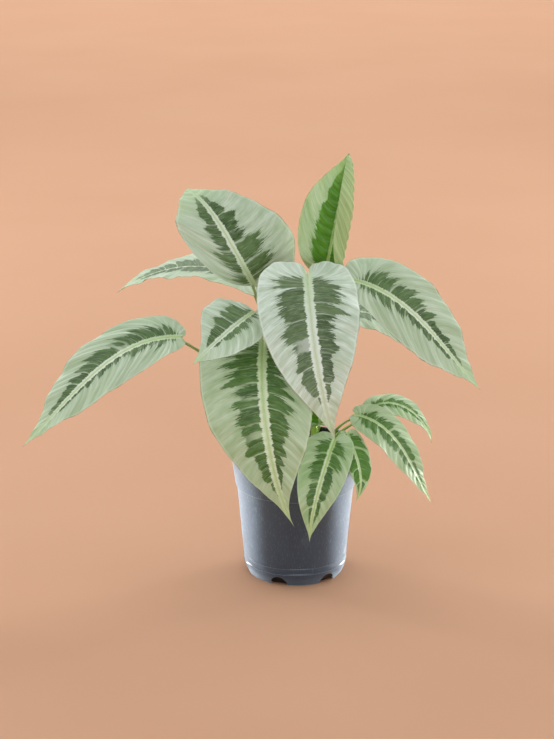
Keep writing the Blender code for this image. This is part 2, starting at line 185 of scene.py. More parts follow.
# %% The leaves
LEAVES = {
    "tall_left": dict(
        rib=[(-37, 12, 160), (-57, 12, 198), (-79, 28, 228), (-97, 48, 239)],
        face=[(0.3, -0.9, 0.3), (-0.1, -0.45, 0.9)], wide=(34, 57),
        fold=(-6, 5), curl=(-25, -20), lobe=(-0.3, 0.8), belly=(0.66, 0.16),
        tail=((0.95, 0.35), (0.84, 0.14)), stalk=(-14, 10), size=1.0,
        youth=0.1, band=0.84, pale=3.0, grey=0.7),
    "unrolling": dict(
        rib=[(26, 28, 165), (33, 24, 202), (39, 22, 235), (46, 27, 275)],
        face=[(-0.1, -0.95, 0.2), (-0.3, -0.9, 0.2)], wide=(32, 40),
        fold=(5, -10), curl=(15, 180), lobe=(0.1, 0.3), belly=(0.45, 0.5),
        tail=((0.88, 0.2), (0.95, 0.5)), cone=1, stalk=(4, 16), size=0.9,
        youth=1.0, band=1.0, pale=1.4, grey=0.0),
    "centre": dict(
        rib=[(10, -25, 178), (12, -62, 155), (19, -90, 109), (34, -88, 48)],
        face=[(0, -0.45, 0.9), (0, -0.97, 0.2)], wide=(43, 45),
        fold=(8, 8), curl=(-25, -15), lobe=(0.9, 0.9), belly=(0.17, 0.18),
        tail=((0.75, 0.05), (0.74, 0.03)), stalk=(2, -4), size=1.0,
        youth=0.0, band=1.1, pale=4.6, grey=1.0),
    "right": dict(
        rib=[(52, 1, 167), (88, 0, 150), (130, -4, 109), (164, -10, 70)],
        face=[(0, -0.6, 0.8), (0.5, -0.7, 0.4)], wide=(36, 31),
        fold=(8, 8), curl=(-15, -15), lobe=(0.5, 0.5), belly=(0.3, 0.42),
        tail=((0.82, 0.1), (0.82, 0.1)), stalk=(17, 5), size=1.0,
        youth=0.05, band=(0.84, 0.66), pale=2.7, grey=0.45),
    "right_back": dict(
        rib=[(31, 54, 119), (60, 56, 123), (90, 50, 110), (110, 42, 86)],
        face=[(0, -0.1, 0.97), (0, -0.2, 0.95)], wide=(26, 30),
        fold=(5, 5), curl=(-10, -10), lobe=(0.4, 0.4), belly=(0.28, 0.28),
        stalk=(9, 26), size=0.8,
        youth=0.1, band=1.0, pale=1.5, grey=0.4),
    "far_left": dict(
        rib=[(-100, -25, 123), (-144, -32, 115), (-193, -48, 79), (-238, -60, 34)],
        face=[(0, -0.42, 0.9), (-0.4, -0.6, 0.6)], wide=(30, 33),
        fold=(8, 8), curl=(-15, -15), lobe=(0.2, 0.2), belly=(0.33, 0.33),
        stalk=(-24, -1), size=1.0,
        youth=0.05, band=(0.66, 1.06), pale=3.0, grey=0.4),
    "left_back": dict(
        rib=[(-40, 47, 153), (-80, 52, 166), (-125, 56, 160), (-162, 56, 141)],
        face=[(0, -0.05, 0.97), (0, -0.1, 0.95)], wide=(32, 35),
        fold=(5, 5), curl=(-10, -10), lobe=(1.0, 1.0), belly=(0.22, 0.22),
        stalk=(-16, 24), size=0.9,
        youth=0.05, band=1.0, pale=1.2, grey=0.5),
    "left_middle": dict(
        rib=[(-36, -32, 148), (-52, -50, 141), (-72, -68, 128), (-88, -78, 115)],
        face=[(-0.3, -0.6, 0.7), (-0.3, -0.8, 0.4)], wide=(28, 37),
        fold=(8, 8), curl=(-10, -10), lobe=(0.3, 0.1), belly=(0.35, 0.12),
        tail=((0.8, 0.2), (0.62, 0.16)), stalk=(-15, -10), size=0.8,
        youth=0.1, band=(0.5, 1.0), pale=2.6, grey=0.8),
    "drooping": dict(
        rib=[(-28, -35, 122), (-29, -68, 96), (-22, -88, 36), (-1, -78, -34)],
        face=[(-0.1, -0.45, 0.88), (-0.2, -0.97, 0.1)], wide=(43, 57),
        fold=(8, 8), curl=(-25, -30), lobe=(1.0, 1.0), belly=(0.27, 0.14),
        tail=((0.72, 0.0), (0.71, 0.0)), stalk=(-6, -20), size=1.0,
        youth=0.2, band=1.0, pale=4.4, grey=0.3),
    "rim_front": dict(
        rib=[(34, -42, 35), (27, -62, 22), (17, -76, -10), (12, -72, -51)],
        face=[(0.1, -0.5, 0.85), (0.1, -0.95, 0.1)], wide=(21, 23),
        fold=(8, 8), curl=(-15, -15), lobe=(0.55, 0.45), belly=(0.22, 0.22),
        tail=((0.8, 0.0), (0.78, 0.0)), stalk=(11, -21), size=0.65,
        youth=0.3, band=1.0, pale=2.3, grey=0.0),
    "rim_side": dict(
        rib=[(46, -25, 34), (52, -36, 20), (57, -47, 0), (53, -49, -21)],
        face=[(0.3, -0.5, 0.8), (0.4, -0.95, 0.1)], wide=(14, 13),
        fold=(8, 8), curl=(-15, -15), lobe=(0.4, 0.4), belly=(0.22, 0.22),
        stalk=(20, -13), size=0.5,
        youth=0.45, band=1.6, pale=1.3, grey=0.0),
    "low_right": dict(
        rib=[(54, -8, 46), (80, -14, 34), (102, -18, 5), (122, -20, -33)],
        face=[(0.3, -0.5, 0.8), (0.6, -0.7, 0.3)], wide=(19, 20),
        fold=(8, 8), curl=(-15, -15), lobe=(0.3, 0.3), belly=(0.22, 0.22),
        stalk=(27, -3), size=0.65,
        youth=0.28, band=0.9, pale=1.5, grey=0.0),
    "low_right_back": dict(
        rib=[(66, 18, 42), (85, 22, 47), (110, 22, 35), (124, 18, 10)],
        face=[(0, -0.3, 0.9), (0.6, -0.5, 0.5)], wide=(13, 15),
        fold=(8, 8), curl=(-15, -15), lobe=(0.3, 0.3), belly=(0.22, 0.22),
        stalk=(27, 12), size=0.6,
        youth=0.5, band=0.7, pale=1.2, grey=0.35),
    "inner": dict(
        rib=[(22, -8, 38), (22, -18, 51), (24, -30, 61), (26, -40, 66)],
        face=[(0, -0.9, 0.2), (0, -0.9, 0.2)], wide=(14, 14),
        fold=(8, 8), curl=(-15, -15), lobe=(0.5, 0.5), belly=(0.22, 0.22),
        stalk=(11, -9), size=0.5,
        youth=0.9, band=1.0, pale=1.4, grey=0.0),
}
print("leaves:", len(LEAVES))

# %% [markdown]
# First the bare middle surface of a leaf, with no thickness. Two numbers find any point on it:
# which vein it lies on, and how far out along that vein. The flat outline is two Bezier curves,
# one back round the lobe to the widest place and one on to the pointed tip. A vein leaves the
# midrib at a steep angle and bends forward as it nears the margin. The veins of the lobes all
# start close to the stalk and fan out backwards.

# %% Flat outline and veins
TURN = 0.42                     # share of the margin between the stalk and the widest place
LOBE_FOOT = 0.10                # share of the rib from which the veins of the lobes fan out
VEIN_BEND = 0.55                # how far out a vein's middle handle is, as a share of the margin
TAIL = ((0.82, 0.06), (0.82, 0.06))     # last handle of the margin, for a leaf that gives none


def unit(vectors):
    """Vectors scaled to length one."""
    vectors = np.asarray(vectors, float)
    return vectors / np.linalg.norm(vectors, axis=-1, keepdims=True)


def bezier(handles, t):
    """Cubic Bezier curve: handles weighted by (1-t)^3, 3(1-t)^2 t, 3(1-t)t^2 and t^3."""
    h, t = np.asarray(handles, float), np.asarray(t, float)[..., None]
    return (1-t)**3 * h[0] + 3*(1-t)**2*t * h[1] + 3*(1-t)*t*t * h[2] + t**3 * h[3]


def ease(x):
    """Smooth step from 0 to 1 as x goes from 0 to 1: 3x^2 - 2x^3."""
    x = np.clip(x, 0, 1)
    return x * x * (3 - 2*x)


def flat_margin(leaf, half, vein):
    """Margin of one half: a cubic Bezier round the lobe to the widest place, then one to the tip.

    Its points are (along the rib in leaf lengths, away from it in half widths).
    """
    lobe, belly = leaf["lobe"][half], leaf["belly"][half]
    tail = leaf.get("tail", TAIL)[half]
    back = [(0, 0), (-0.26*lobe, 0.10), (-0.20*lobe, 1.0), (belly, 1.0)]
    on = [(belly, 1.0), (belly + 0.55*(1-belly), 1.0), tail, (1.0, 0.0)]
    return np.where((vein < TURN)[..., None], bezier(back, np.clip(vein/TURN, 0, 1)),
                    bezier(on, np.clip((vein-TURN)/(1-TURN), 0, 1)))


def vein_foot(leaf, vein):
    """Where a vein leaves the rib, the same on both halves.

    It is 0.1 (vein/turn)^2 in the lobes and 0.1 + 0.9 (0.6 g + 0.4 g^1.5) beyond them, where g is
    the mean of the two margin points' shares of the way from the widest place to the tip.
    """
    ahead = sum(np.clip((flat_margin(leaf, half, vein)[..., 0] - belly) / (1-belly), 0, 1)
                for half, belly in enumerate(leaf["belly"])) / 2
    return np.where(vein < TURN, LOBE_FOOT * (vein/TURN)**2,
                    LOBE_FOOT + (1-LOBE_FOOT) * (0.6*ahead + 0.4*ahead**1.5))


def flat_leaf(leaf, vein, across):
    """Leaf pressed flat; a vein is a quadratic Bezier from its foot on the rib to its margin.

    It leaves the rib at a right angle, for its middle handle is level with its foot.
    """
    out = np.abs(across)
    margin = np.where((across >= 0)[..., None], flat_margin(leaf, 1, vein),
                      flat_margin(leaf, 0, vein))
    foot = vein_foot(leaf, vein)
    bend = 2 * out * (1-out)
    along = ((1-out)**2 + bend) * foot + out**2 * margin[..., 0]
    return along, bend * VEIN_BEND*margin[..., 1] + out**2 * margin[..., 1]


print("margin of the centre leaf at its widest:",
      flat_leaf(LEAVES["centre"], np.array([TURN]), np.array([1.0])))

# %% [markdown]
# Then the flat leaf is hung on its midrib in space. The rib is the one cubic curve through its
# four points. Each half of the blade is an arc of a circle seen from the tip: it leaves the rib
# at the fold angle and turns on by the curl angle before it reaches the margin. A curl of 180
# degrees is a leaf half that is still rolled up on itself.

# %% Hanging the blade on its rib


def midrib(leaf, count=240):
    """Cubic through the four rib points (Lagrange weights on chord length), and its run."""
    p = np.array(leaf["rib"], float) * MM + np.array([0, 0, SOIL_TOP])
    knots = np.concatenate([[0], np.cumsum(np.linalg.norm(np.diff(p, axis=0), axis=1))])
    knots, t = knots / knots[-1], np.linspace(0, 1, count)
    line = np.zeros((count, 3))
    for i in range(4):
        others = [j for j in range(4) if j != i]
        weight = np.prod([(t - knots[j]) / (knots[i] - knots[j]) for j in others], axis=0)
        line += weight[:, None] * p[i]
    run = np.concatenate([[0], np.cumsum(np.linalg.norm(np.diff(line, axis=0), axis=1))])
    return line, run


def rib_frame(leaf, along):
    """Point, forward, sideways and upper-side directions of the rib at each place along it."""
    line, run = midrib(leaf)
    at = np.clip(along, 0, 1) * run[-1]
    slope = unit(np.gradient(line, axis=0))
    point = np.stack([np.interp(at, run, line[:, k]) for k in range(3)], -1)
    ahead = unit(np.stack([np.interp(at, run, slope[:, k]) for k in range(3)], -1))
    point = point + np.minimum(along, 0)[..., None] * run[-1] * ahead
    share = np.clip(along, 0, 1)[..., None]
    up = unit(leaf["face"][0]) * (1-share) + unit(leaf["face"][1]) * share
    up = unit(up - (up*ahead).sum(-1, keepdims=True) * ahead)
    return point, ahead, np.cross(ahead, up), up


def blade_middle(leaf, vein, across):
    """Middle surface of the blade, its normal, and each point's place along and off the rib.

    across runs from -1 at the left margin through 0 on the rib to 1 at the right margin. A half
    of the blade is the arc whose heading is fold + curl * (distance out / half width); a cone
    divides by the half width at that place instead, so that it rolls up tighter near the tip.
    """
    right = across >= 0
    side = np.where(right, 1.0, -1.0)[..., None]
    width, fold, curl = (np.where(right, leaf[key][1], leaf[key][0])
                         for key in ("wide", "fold", "curl"))
    width, fold = width * MM, np.radians(fold)
    rate = np.radians(curl) / width
    along, out = flat_leaf(leaf, vein, across)
    point, _, sideways, up = rib_frame(leaf, along)
    if leaf.get("cone"):
        edges = [flat_margin(leaf, half, np.linspace(TURN, 1, 160)) for half in (0, 1)]
        local = np.where(right, *(np.interp(along, e[:, 0], e[:, 1]) for e in edges[::-1]))
        rate = rate / np.clip(local, 0.15, 1)
    turn = fold + rate * out * width
    x, z = (np.sin(turn) - np.sin(fold)) / rate, (np.cos(fold) - np.cos(turn)) / rate
    middle = point + side * sideways * x[..., None] + up * z[..., None]
    lean = (turn * ease(out*width / (3*MM)))[..., None]
    normal = up * np.cos(lean) - side * sideways * np.sin(lean)
    return middle, normal, along, out * width


for name, leaf in LEAVES.items():
    leaf["length"] = midrib(leaf)[1][-1]
print("blade lengths in mm:", {n: round(float(f["length"]/MM)) for n, f in LEAVES.items()})

# %% [markdown]
# A living blade is not smooth. Between two side veins it is quilted: it swells a little above
# the veins on the upper side, so the veins are grooves above and ridges below. The midrib is a
# shallow groove above and a round keel below, thick where the stalk runs in. The margin waves
# gently. All of that is added along the surface normal. The rows of the grid lie on the veins,
# eight rows from one vein to the next, so the quilting stays crisp with few faces.

# %% Relief of the blade
VEIN_SPACING = 6.2 * MM         # typical distance between side veins, measured on the rib
ROWS_PER_VEIN = 8
OUT = np.array([0, .01, .022, .036, .053, .075, .10, .13, .165, .205, .25, .30, .35, .405, .46,
                .52, .58, .64, .70, .76, .82, .875, .925, .965, .988, 1.0])
ACROSS = np.concatenate([-OUT[:0:-1], OUT])
BLADE_HALF = 0.22 * MM          # half of the blade's thickness
WAVE_HIGH, QUILT_HIGH = 1.3*MM, 0.75*MM         # the margin's wave, and the most of the quilting
GROOVE_DEEP, SHOULDER_HIGH = 0.3*MM, 0.25*MM    # on the upper side, in and beside the rib


def vein_rows(leaf):
    """Rows from stalk to tip, evenly spaced in vein number: veins * (0.65 v + 0.35 foot)."""
    veins = max(9, round(leaf["length"] / VEIN_SPACING))
    fine = np.linspace(0, 1, 4000)
    foot = vein_foot(leaf, fine)
    number = np.linspace(0, veins, veins*ROWS_PER_VEIN + 1)[1:-1]
    return np.interp(number, veins * (0.65*fine + 0.35*foot), fine), number


def blade_skins(leaf, seed):
    """Upper and under surfaces of the blade, and the values that its finish follows.

    Upper = middle + wave + quilt + groove + shoulder + half, and under = middle + wave + quilt
    - keel - half, all along the normal. The quilt is |sin(pi * vein number)|^0.75 between the
    veins, and groove, shoulder and keel are bells exp(-(distance/width)^2) round the rib.
    """
    rows, number = vein_rows(leaf)
    vein, across = np.meshgrid(rows, ACROSS, indexing="ij")
    count = np.broadcast_to(number[:, None], vein.shape)
    middle, normal, along, off = blade_middle(leaf, vein, across)
    out, size = np.abs(across), leaf["size"]
    gap = np.linalg.norm(np.gradient(middle, number, axis=0), axis=-1)
    free = ease(off / (2.5*MM))

    pick = np.random.default_rng(seed)
    phase, waves = pick.uniform(0, 2*pi, 4), pick.uniform(4.5, 7.5, 2)
    side = np.where(across < 0, 0, 1)
    wave = np.sin(2*pi*count/waves[side] + phase[side]) + 0.5*np.sin(
        4.6*pi*count/waves[side] + phase[side+2])
    wave = wave * WAVE_HIGH * size * out**2.4 * ease((1-vein)*5)
    swell = np.minimum(0.095*gap, QUILT_HIGH) * (1 + 0.7*leaf["youth"]) * free * (1 - 0.55*out**3)
    quilt = swell * (np.abs(np.sin(pi*count))**0.75 - 0.6)
    quilt = quilt + 0.18 * swell * np.sin(6*pi*count)

    reach = np.hypot(off, np.minimum(along, 0) * leaf["length"])
    taper = 1 - 0.65*np.clip(along, 0, 1)
    groove = -GROOVE_DEEP * np.exp(-(reach / (0.8*MM))**2) * taper
    shoulder = SHOULDER_HIGH * np.exp(-((reach - 2.0*MM) / (1.0*MM))**2) * taper
    keel = (0.25 + 1.5*size*(1 - np.clip(along, 0, 1))**0.8)*MM * np.exp(
        -(reach / ((0.7 + 0.8*size*taper)*MM))**2)
    half = BLADE_HALF * (1 - 0.45*out**2) * ease((1-vein)*30 + 0.25)

    upper = middle + normal * (wave + quilt + groove + shoulder + half)[..., None]
    under = middle + normal * (wave + quilt - keel - half)[..., None]
    values = dict(vein=vein, across=across, along=along, off_mm=off/MM, number=count)
    return upper, under, values


upper, under, values = blade_skins(LEAVES["centre"], 1)
print("centre blade grid:", upper.shape, "half width", round(float(values["off_mm"].max()), 1))

# %% [markdown]
# The two surfaces become one closed skin. A ring runs over the upper side from the left margin
# to the right one, round the right margin, back along the under side and round the left margin.
# Two material slots tell the glossy upper side from the matte under side. The UV map "veins"
# counts veins in one direction and centimetres from the rib in the other, with a jump from leaf
# to leaf and from left to right, so that no two leaves and no two halves carry the same pattern.

# %% Blade maker


def make_blade(name, leaf, seed, finishes):
    """Closes the upper and under surfaces into one piece and stores the values on its points."""
    upper, under, values = blade_skins(leaf, seed)
    rim = [(upper[:, j] + under[:, j])/2 + 0.12*MM*unit(upper[:, j] - upper[:, k])
           for j, k in ((-1, -2), (0, 1))]
    rings = np.concatenate([upper, rim[0][:, None], under[:, ::-1], rim[1][:, None]], axis=1)
    (start, tip), (lift, _), _, _ = blade_middle(leaf, np.array([0.0, 1.0]), np.zeros(2))
    points, quads, tris = skin(rings, start - lift*0.4*MM, tip)

    def around(grid):
        return np.concatenate([grid, grid[:, -1:], grid[:, ::-1], grid[:, :1]], axis=1).ravel()

    ends = dict(vein=(0, 1), across=(0, 0), along=(0, 1), off_mm=(0, 0),
                number=(0, values["number"].max() + 1/ROWS_PER_VEIN))
    stored = {k: np.concatenate([around(g), ends[k]]) for k, g in values.items()}
    for key in ("youth", "grey", "pale"):
        stored[key] = np.full(len(points), leaf[key])
    left_band, right_band = np.broadcast_to(leaf["band"], 2)
    stored["band"] = np.where(stored["across"] >= 0, right_band, left_band)
    number = stored.pop("number")
    piece = make_piece(name + "_leaf", points, quads, tris, stored)
    mesh = piece.data

    corner = np.zeros(len(mesh.loops), np.int32)
    mesh.loops.foreach_get("vertex_index", corner)
    right_face = [stored["across"][f].mean(axis=1) >= 0 for f in (quads, tris)]
    right = np.concatenate([np.repeat(right_face[0], 4), np.repeat(right_face[1], 3)])
    u = number[corner] + 60*seed + 30*right
    v = stored["off_mm"][corner] / 10
    mesh.uv_layers.new(name="veins").data.foreach_set(
        "uv", np.stack([u, v], -1).astype(np.float32).ravel())

    ring, half = rings.shape[1], upper.shape[1]
    place_on_ring = np.concatenate([quads[:, 0] % ring, tris[:len(tris)//2, 2] % ring,
                                    tris[len(tris)//2:, 0] % ring])
    below = (place_on_ring > half) & (place_on_ring < 2*half)
    for finish in finishes:
        mesh.materials.append(finish)
    mesh.polygons.foreach_set("material_index", below.astype(np.int32))
    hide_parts(name + "_blade")
    return piece


print("columns across a blade:", len(ACROSS))

# %% [markdown]
# Finish of the upper side: a living leaf with a waxy skin, the cuticle, over a colour that lies
# inside the leaf. The pattern is the plant's own: a pale rib, a dark green band on each side of
# it, silver outside the band, and fine pale veins. It could be drawn by hand on each leaf, but
# here it is worked out from the vein number and the distance out, so that it follows the veins of
# every leaf. The first cell reads those values from the blade. Its noise is stretched along the
# veins, and its colours are made for a green, a silvery and a newly unrolled leaf at once.

# %% Reading a leaf's own values
SMOOTH = dict(interpolation_type="SMOOTHSTEP")


def leaf_values(add):
    """The values stored on a blade, its vein number and its centimetres out from the rib."""
    stored = {key: add("Attribute", output="Fac", attribute_name=key)
              for key in ("vein", "across", "along", "off_mm", "youth", "grey", "band", "pale")}
    uv = add("UVMap", uv_map="veins")
    number, cm_out = (add("SeparateXYZ", (uv,), output=axis) for axis in "XY")
    out = add("Math", (stored["across"],), operation="ABSOLUTE")
    return SimpleNamespace(**stored, number=number, cm_out=cm_out, out=out)


def streaks(add, leaf, across_veins, along_veins, detail=2.0, shift=0.0):
    """Noise in vein space: so many grains per vein gap, and so many per centimetre of vein."""
    at = add("CombineXYZ", (add("Math", (leaf.number, across_veins), operation="MULTIPLY"),
                            add("Math", (leaf.cm_out, along_veins), operation="MULTIPLY"), shift))
    return add("TexNoise", {"Vector": at, "Scale": 1.0, "Detail": detail, "Roughness": 0.6},
               noise_dimensions="3D")


def tone(add, leaf, green, silvery, young):
    """One colour for a green leaf, a silvery leaf and a leaf that has just unrolled."""
    grown = add("Mix", (leaf.grey, colour(green), colour(silvery)), data_type="RGBA")
    return add("Mix", (leaf.youth, grown, colour(young)), data_type="RGBA")


print("values read from a blade: vein, across, along, off_mm, youth, grey, band, pale")

# %% [markdown]
# The dark band barely reaches into the lobes, runs about half way out along the middle of the
# leaf and closes before the tip, sooner on a silvery leaf. Its edge is cut into blocks about
# three vein gaps wide. Each block is an arch that leans towards the tip, like a saw tooth, and
# every vein cuts a small tooth of silver into it. Noise along the veins frays the edge, most in
# the half of the leaf near the stalk, and draws wisps of the dark out over the silver.

# %% The dark band
BLOCK_VEINS = 3.1               # vein gaps in one block of the band


def blocks(add, leaf):
    """Block number = vein number / 3.1 + 1.6 noise, and the values that follow from it.

    leaf.lot is each block's own random number, leaf.sweep runs from 0 to 1 across the block, and
    its arch is sin(pi sweep^1.6). leaf.gap is 0 on a vein and 1 half way to the next one, and
    leaf.teeth is gap^0.7.
    """
    drift = add("TexNoise", {"W": leaf.number, "Scale": 0.3, "Detail": 0.0}, noise_dimensions="1D")
    even = add("Math", (leaf.number, 1/BLOCK_VEINS), operation="MULTIPLY")
    leaf.block = add("Math", (drift, 1.6, even), operation="MULTIPLY_ADD")
    whole = add("Math", (leaf.block,), operation="FLOOR")
    leaf.lot = add("TexWhiteNoise", {"W": whole}, noise_dimensions="1D")
    leaf.sweep = add("Math", (leaf.block,), operation="FRACT")
    bent = add("Math", (leaf.sweep, 1.6), operation="POWER")
    arch = add("Math", (add("Math", (bent, pi), operation="MULTIPLY"),), operation="SINE")
    near_vein = add("Math", (leaf.number, 0.5), operation="PINGPONG")
    leaf.gap = add("Math", (near_vein, 2.0), operation="MULTIPLY")
    leaf.teeth = add("Math", (leaf.gap, 0.7), operation="POWER")
    return arch


def band_edge(add, leaf):
    """Sum of the cuts in the band's edge: lot, arch, teeth at the veins, and two noises."""
    arch = blocks(add, leaf)
    vein_lot = add("TexWhiteNoise", {"W": add("Math", (leaf.number,), operation="ROUND")},
                   noise_dimensions="1D")
    tooth = add("Math", (leaf.teeth, 0.62), operation="SUBTRACT")
    tooth = add("Math", (tooth, add("Math", (vein_lot, 0.45), operation="ADD")),
                operation="MULTIPLY")
    coarse = add("Math", (streaks(add, leaf, 6.5, 0.5, 2.0, 5.0), 0.5), operation="SUBTRACT")
    fine = add("Math", (streaks(add, leaf, 13.0, 1.4, 1.0, 7.0), 0.5), operation="SUBTRACT")
    lot = add("Math", (leaf.lot, 0.5), operation="SUBTRACT")
    cut = add("Math", (lot, 0.12), operation="MULTIPLY")
    arch = add("Math", (arch, 0.6), operation="SUBTRACT")
    cut = add("Math", (arch, 0.18, cut), operation="MULTIPLY_ADD")
    for part, near_stalk, least in ((tooth, 0.15, 0.05), (coarse, 0.22, 0.14),
                                    (fine, 0.34, 0.12)):
        depth = add("Math", (leaf.feather, near_stalk, least), operation="MULTIPLY_ADD")
        cut = add("Math", (part, depth, cut), operation="MULTIPLY_ADD")
    return cut


def dark_band(add, leaf):
    """1 where reach(vein) + calm * cuts is past the distance out, with a haze of wisps beyond.

    leaf.calm weakens the cuts on a young leaf, and leaf.feather is 1 in the half of the leaf
    near the stalk, where the edge is frayed the most.
    """
    leaf.calm = add("MapRange", (leaf.youth, 0.5, 1.0, 1.0, 0.55), **SMOOTH)
    leaf.feather = add("MapRange", (leaf.vein, 0.72, 0.46), **SMOOTH)
    sooner = add("Math", (leaf.grey, 0.10, 1.0), operation="MULTIPLY_ADD")
    place = add("Math", (leaf.vein, sooner), operation="MULTIPLY")
    reach = add("ValToRGB", (place,), stops=[
        (0.0, 0.06), (0.2, 0.18), (0.32, 0.38), (0.42, 0.50), (0.6, 0.54), (0.8, 0.54),
        (0.88, 0.44), (0.93, 0.22), (0.96, 0.0)])
    reach = add("Math", (reach, leaf.band), operation="MULTIPLY")
    edge = add("Math", (band_edge(add, leaf), leaf.calm, reach), operation="MULTIPLY_ADD")
    inside = add("Math", (edge, leaf.out), operation="SUBTRACT")
    crisp = add("MapRange", (inside, -0.018, 0.022), **SMOOTH)
    crisp = add("Math", (crisp, add("MapRange", (place, 0.95, 0.90), **SMOOTH)),
                operation="MULTIPLY")
    wisps = add("MapRange", (streaks(add, leaf, 7.0, 0.35, 3.0, 11.0), 0.42, 0.66), **SMOOTH)
    near = add("MapRange", (inside, -0.24, 0.02), **SMOOTH)
    haze = add("Math", (near, wisps), operation="MULTIPLY")
    haze = add("Math", (haze, add("Math", (leaf.feather, 0.36, 0.2), operation="MULTIPLY_ADD")),
               operation="MULTIPLY")
    haze = add("Math", (haze, add("MapRange", (place, 0.95, 0.85), **SMOOTH)),
               operation="MULTIPLY")
    return add("Math", (crisp, haze), operation="MAXIMUM")


print("vein gaps in one block of the band:", BLOCK_VEINS)

# %% [markdown]
# Outside the band the leaf is silver, because air lies under its skin there. Fine feathery
# streaks of a paler silver run along the veins, and here and there it washes out to green. The
# band itself is a deep green. Some blocks are paler than others, each is paler on its tipward
# side, and thin threads of silver are drawn out over it.

# %% Silver and dark green


def silver_skin(add, leaf):
    """Silver mixed with a paler one by streaks and towards the veins (partly painted quilt shade),
    and with green by patches.
    """
    broad = add("Math", (streaks(add, leaf, 2.6, 0.4, 2.0, 15.0), 0.35), operation="MULTIPLY")
    fine = add("Math", (streaks(add, leaf, 8.5, 0.9, 3.0, 1.0), 0.5, broad),
               operation="MULTIPLY_ADD")
    # Paler on each vein and darker half way between: partly the pale veins, partly painted light
    # and shade for the quilting.
    vein_pale_and_quilt_shade = add("Math", (1.0, leaf.gap), operation="SUBTRACT")
    fine = add("Math", (vein_pale_and_quilt_shade, 0.10, fine), operation="MULTIPLY_ADD")
    silver = add("Mix", (add("MapRange", (fine, 0.30, 0.66), **SMOOTH),
                         tone(add, leaf, "#97ad86", "#adbca3", "#aecd96"),
                         tone(add, leaf, "#a6bb94", "#d6e2d5", "#cbe1ba")), data_type="RGBA")
    patch = add("MapRange", (streaks(add, leaf, 0.55, 0.4, 2.0, 5.0), 0.44, 0.68), **SMOOTH)
    return add("Mix", (add("Math", (patch, 0.55), operation="MULTIPLY"), silver,
                       tone(add, leaf, "#86a26f", "#a3b799", "#8ab562")), data_type="RGBA")


def dark_green(add, leaf):
    """Deep green, paler by 0.3 of the place in the block, 0.4 of its lot and by mottling."""
    lot = add("Math", (leaf.lot, 0.40), operation="MULTIPLY")
    paler = add("Math", (leaf.sweep, 0.30, lot), operation="MULTIPLY_ADD")
    mottle = add("MapRange", (streaks(add, leaf, 3.6, 1.1, 5.0, 2.0), 0.40, 0.64), **SMOOTH)
    paler = add("Math", (mottle, 0.6, paler), operation="MULTIPLY_ADD")
    paler = add("Math", (leaf.feather, 0.15, paler), operation="MULTIPLY_ADD")
    dark = add("Mix", (add("Math", (paler, 1.0), operation="MINIMUM"),
                       tone(add, leaf, "#203a14", "#2f4521", "#34660f"),
                       tone(add, leaf, "#4a6934", "#657b52", "#5b9722")), data_type="RGBA")
    thread = add("MapRange", (streaks(add, leaf, 10.0, 0.45, 3.0, 21.0), 0.54, 0.74, 0.0, 0.65),
                 **SMOOTH)
    return add("Mix", (add("Math", (thread, leaf.calm), operation="MULTIPLY"), dark,
                       tone(add, leaf, "#7c956b", "#97a792", "#84b257")), data_type="RGBA")


print("dark green in linear light:", [round(v, 3) for v in colour("#203a14")[:3]])

# %% [markdown]
# Pale lines mark the veins: a clear one between two blocks of the band, and a faint, broken one
# on every other vein. They fade on their way out. The rib is a pale stripe with a spiky, whiter
# edge, greener near the stalk, and a fine green line runs down its middle.

# %% Pale veins and rib


def vein_line(add, leaf, position, half_width, fade_from, fade_to, strength):
    """Line at every whole position, fading between two distances in mm from the rib."""
    near = add("Math", (position, 0.5), operation="PINGPONG")
    on = add("MapRange", (near, half_width, half_width*0.3), **SMOOTH)
    on = add("Math", (on, add("MapRange", (leaf.off_mm, fade_to, fade_from), **SMOOTH)),
             operation="MULTIPLY")
    return add("Math", (on, strength), operation="MULTIPLY")


def pale_veins(add, leaf):
    """The stronger of the two kinds of line at each point, weaker on a young leaf."""
    wander = add("Math", (streaks(add, leaf, 0.9, 0.7, 2.0, 27.0), 0.5), operation="SUBTRACT")
    wander = add("Math", (wander, 0.7), operation="MULTIPLY")
    sway = add("Math", (wander, 0.3), operation="MULTIPLY")
    between = vein_line(add, leaf, add("Math", (leaf.block, sway), operation="ADD"),
                        0.06, 5.0, 27.0, 0.8)
    by_lot = add("MapRange", (leaf.lot, 0.0, 0.8, 0.25, 1.0), **SMOOTH)
    between = add("Math", (between, by_lot), operation="MULTIPLY")
    each = vein_line(add, leaf, add("Math", (leaf.number, wander), operation="ADD"),
                     0.055, 3.0, 24.0, 0.46)
    broken = add("MapRange", (streaks(add, leaf, 1.3, 1.6, 2.0, 9.0), 0.40, 0.62), **SMOOTH)
    each = add("Math", (each, broken), operation="MULTIPLY")
    veins = add("Math", (between, each), operation="MAXIMUM")
    grown = add("MapRange", (leaf.youth, 0.4, 1.0, 1.0, 0.25), **SMOOTH)
    return add("Math", (veins, grown), operation="MULTIPLY")


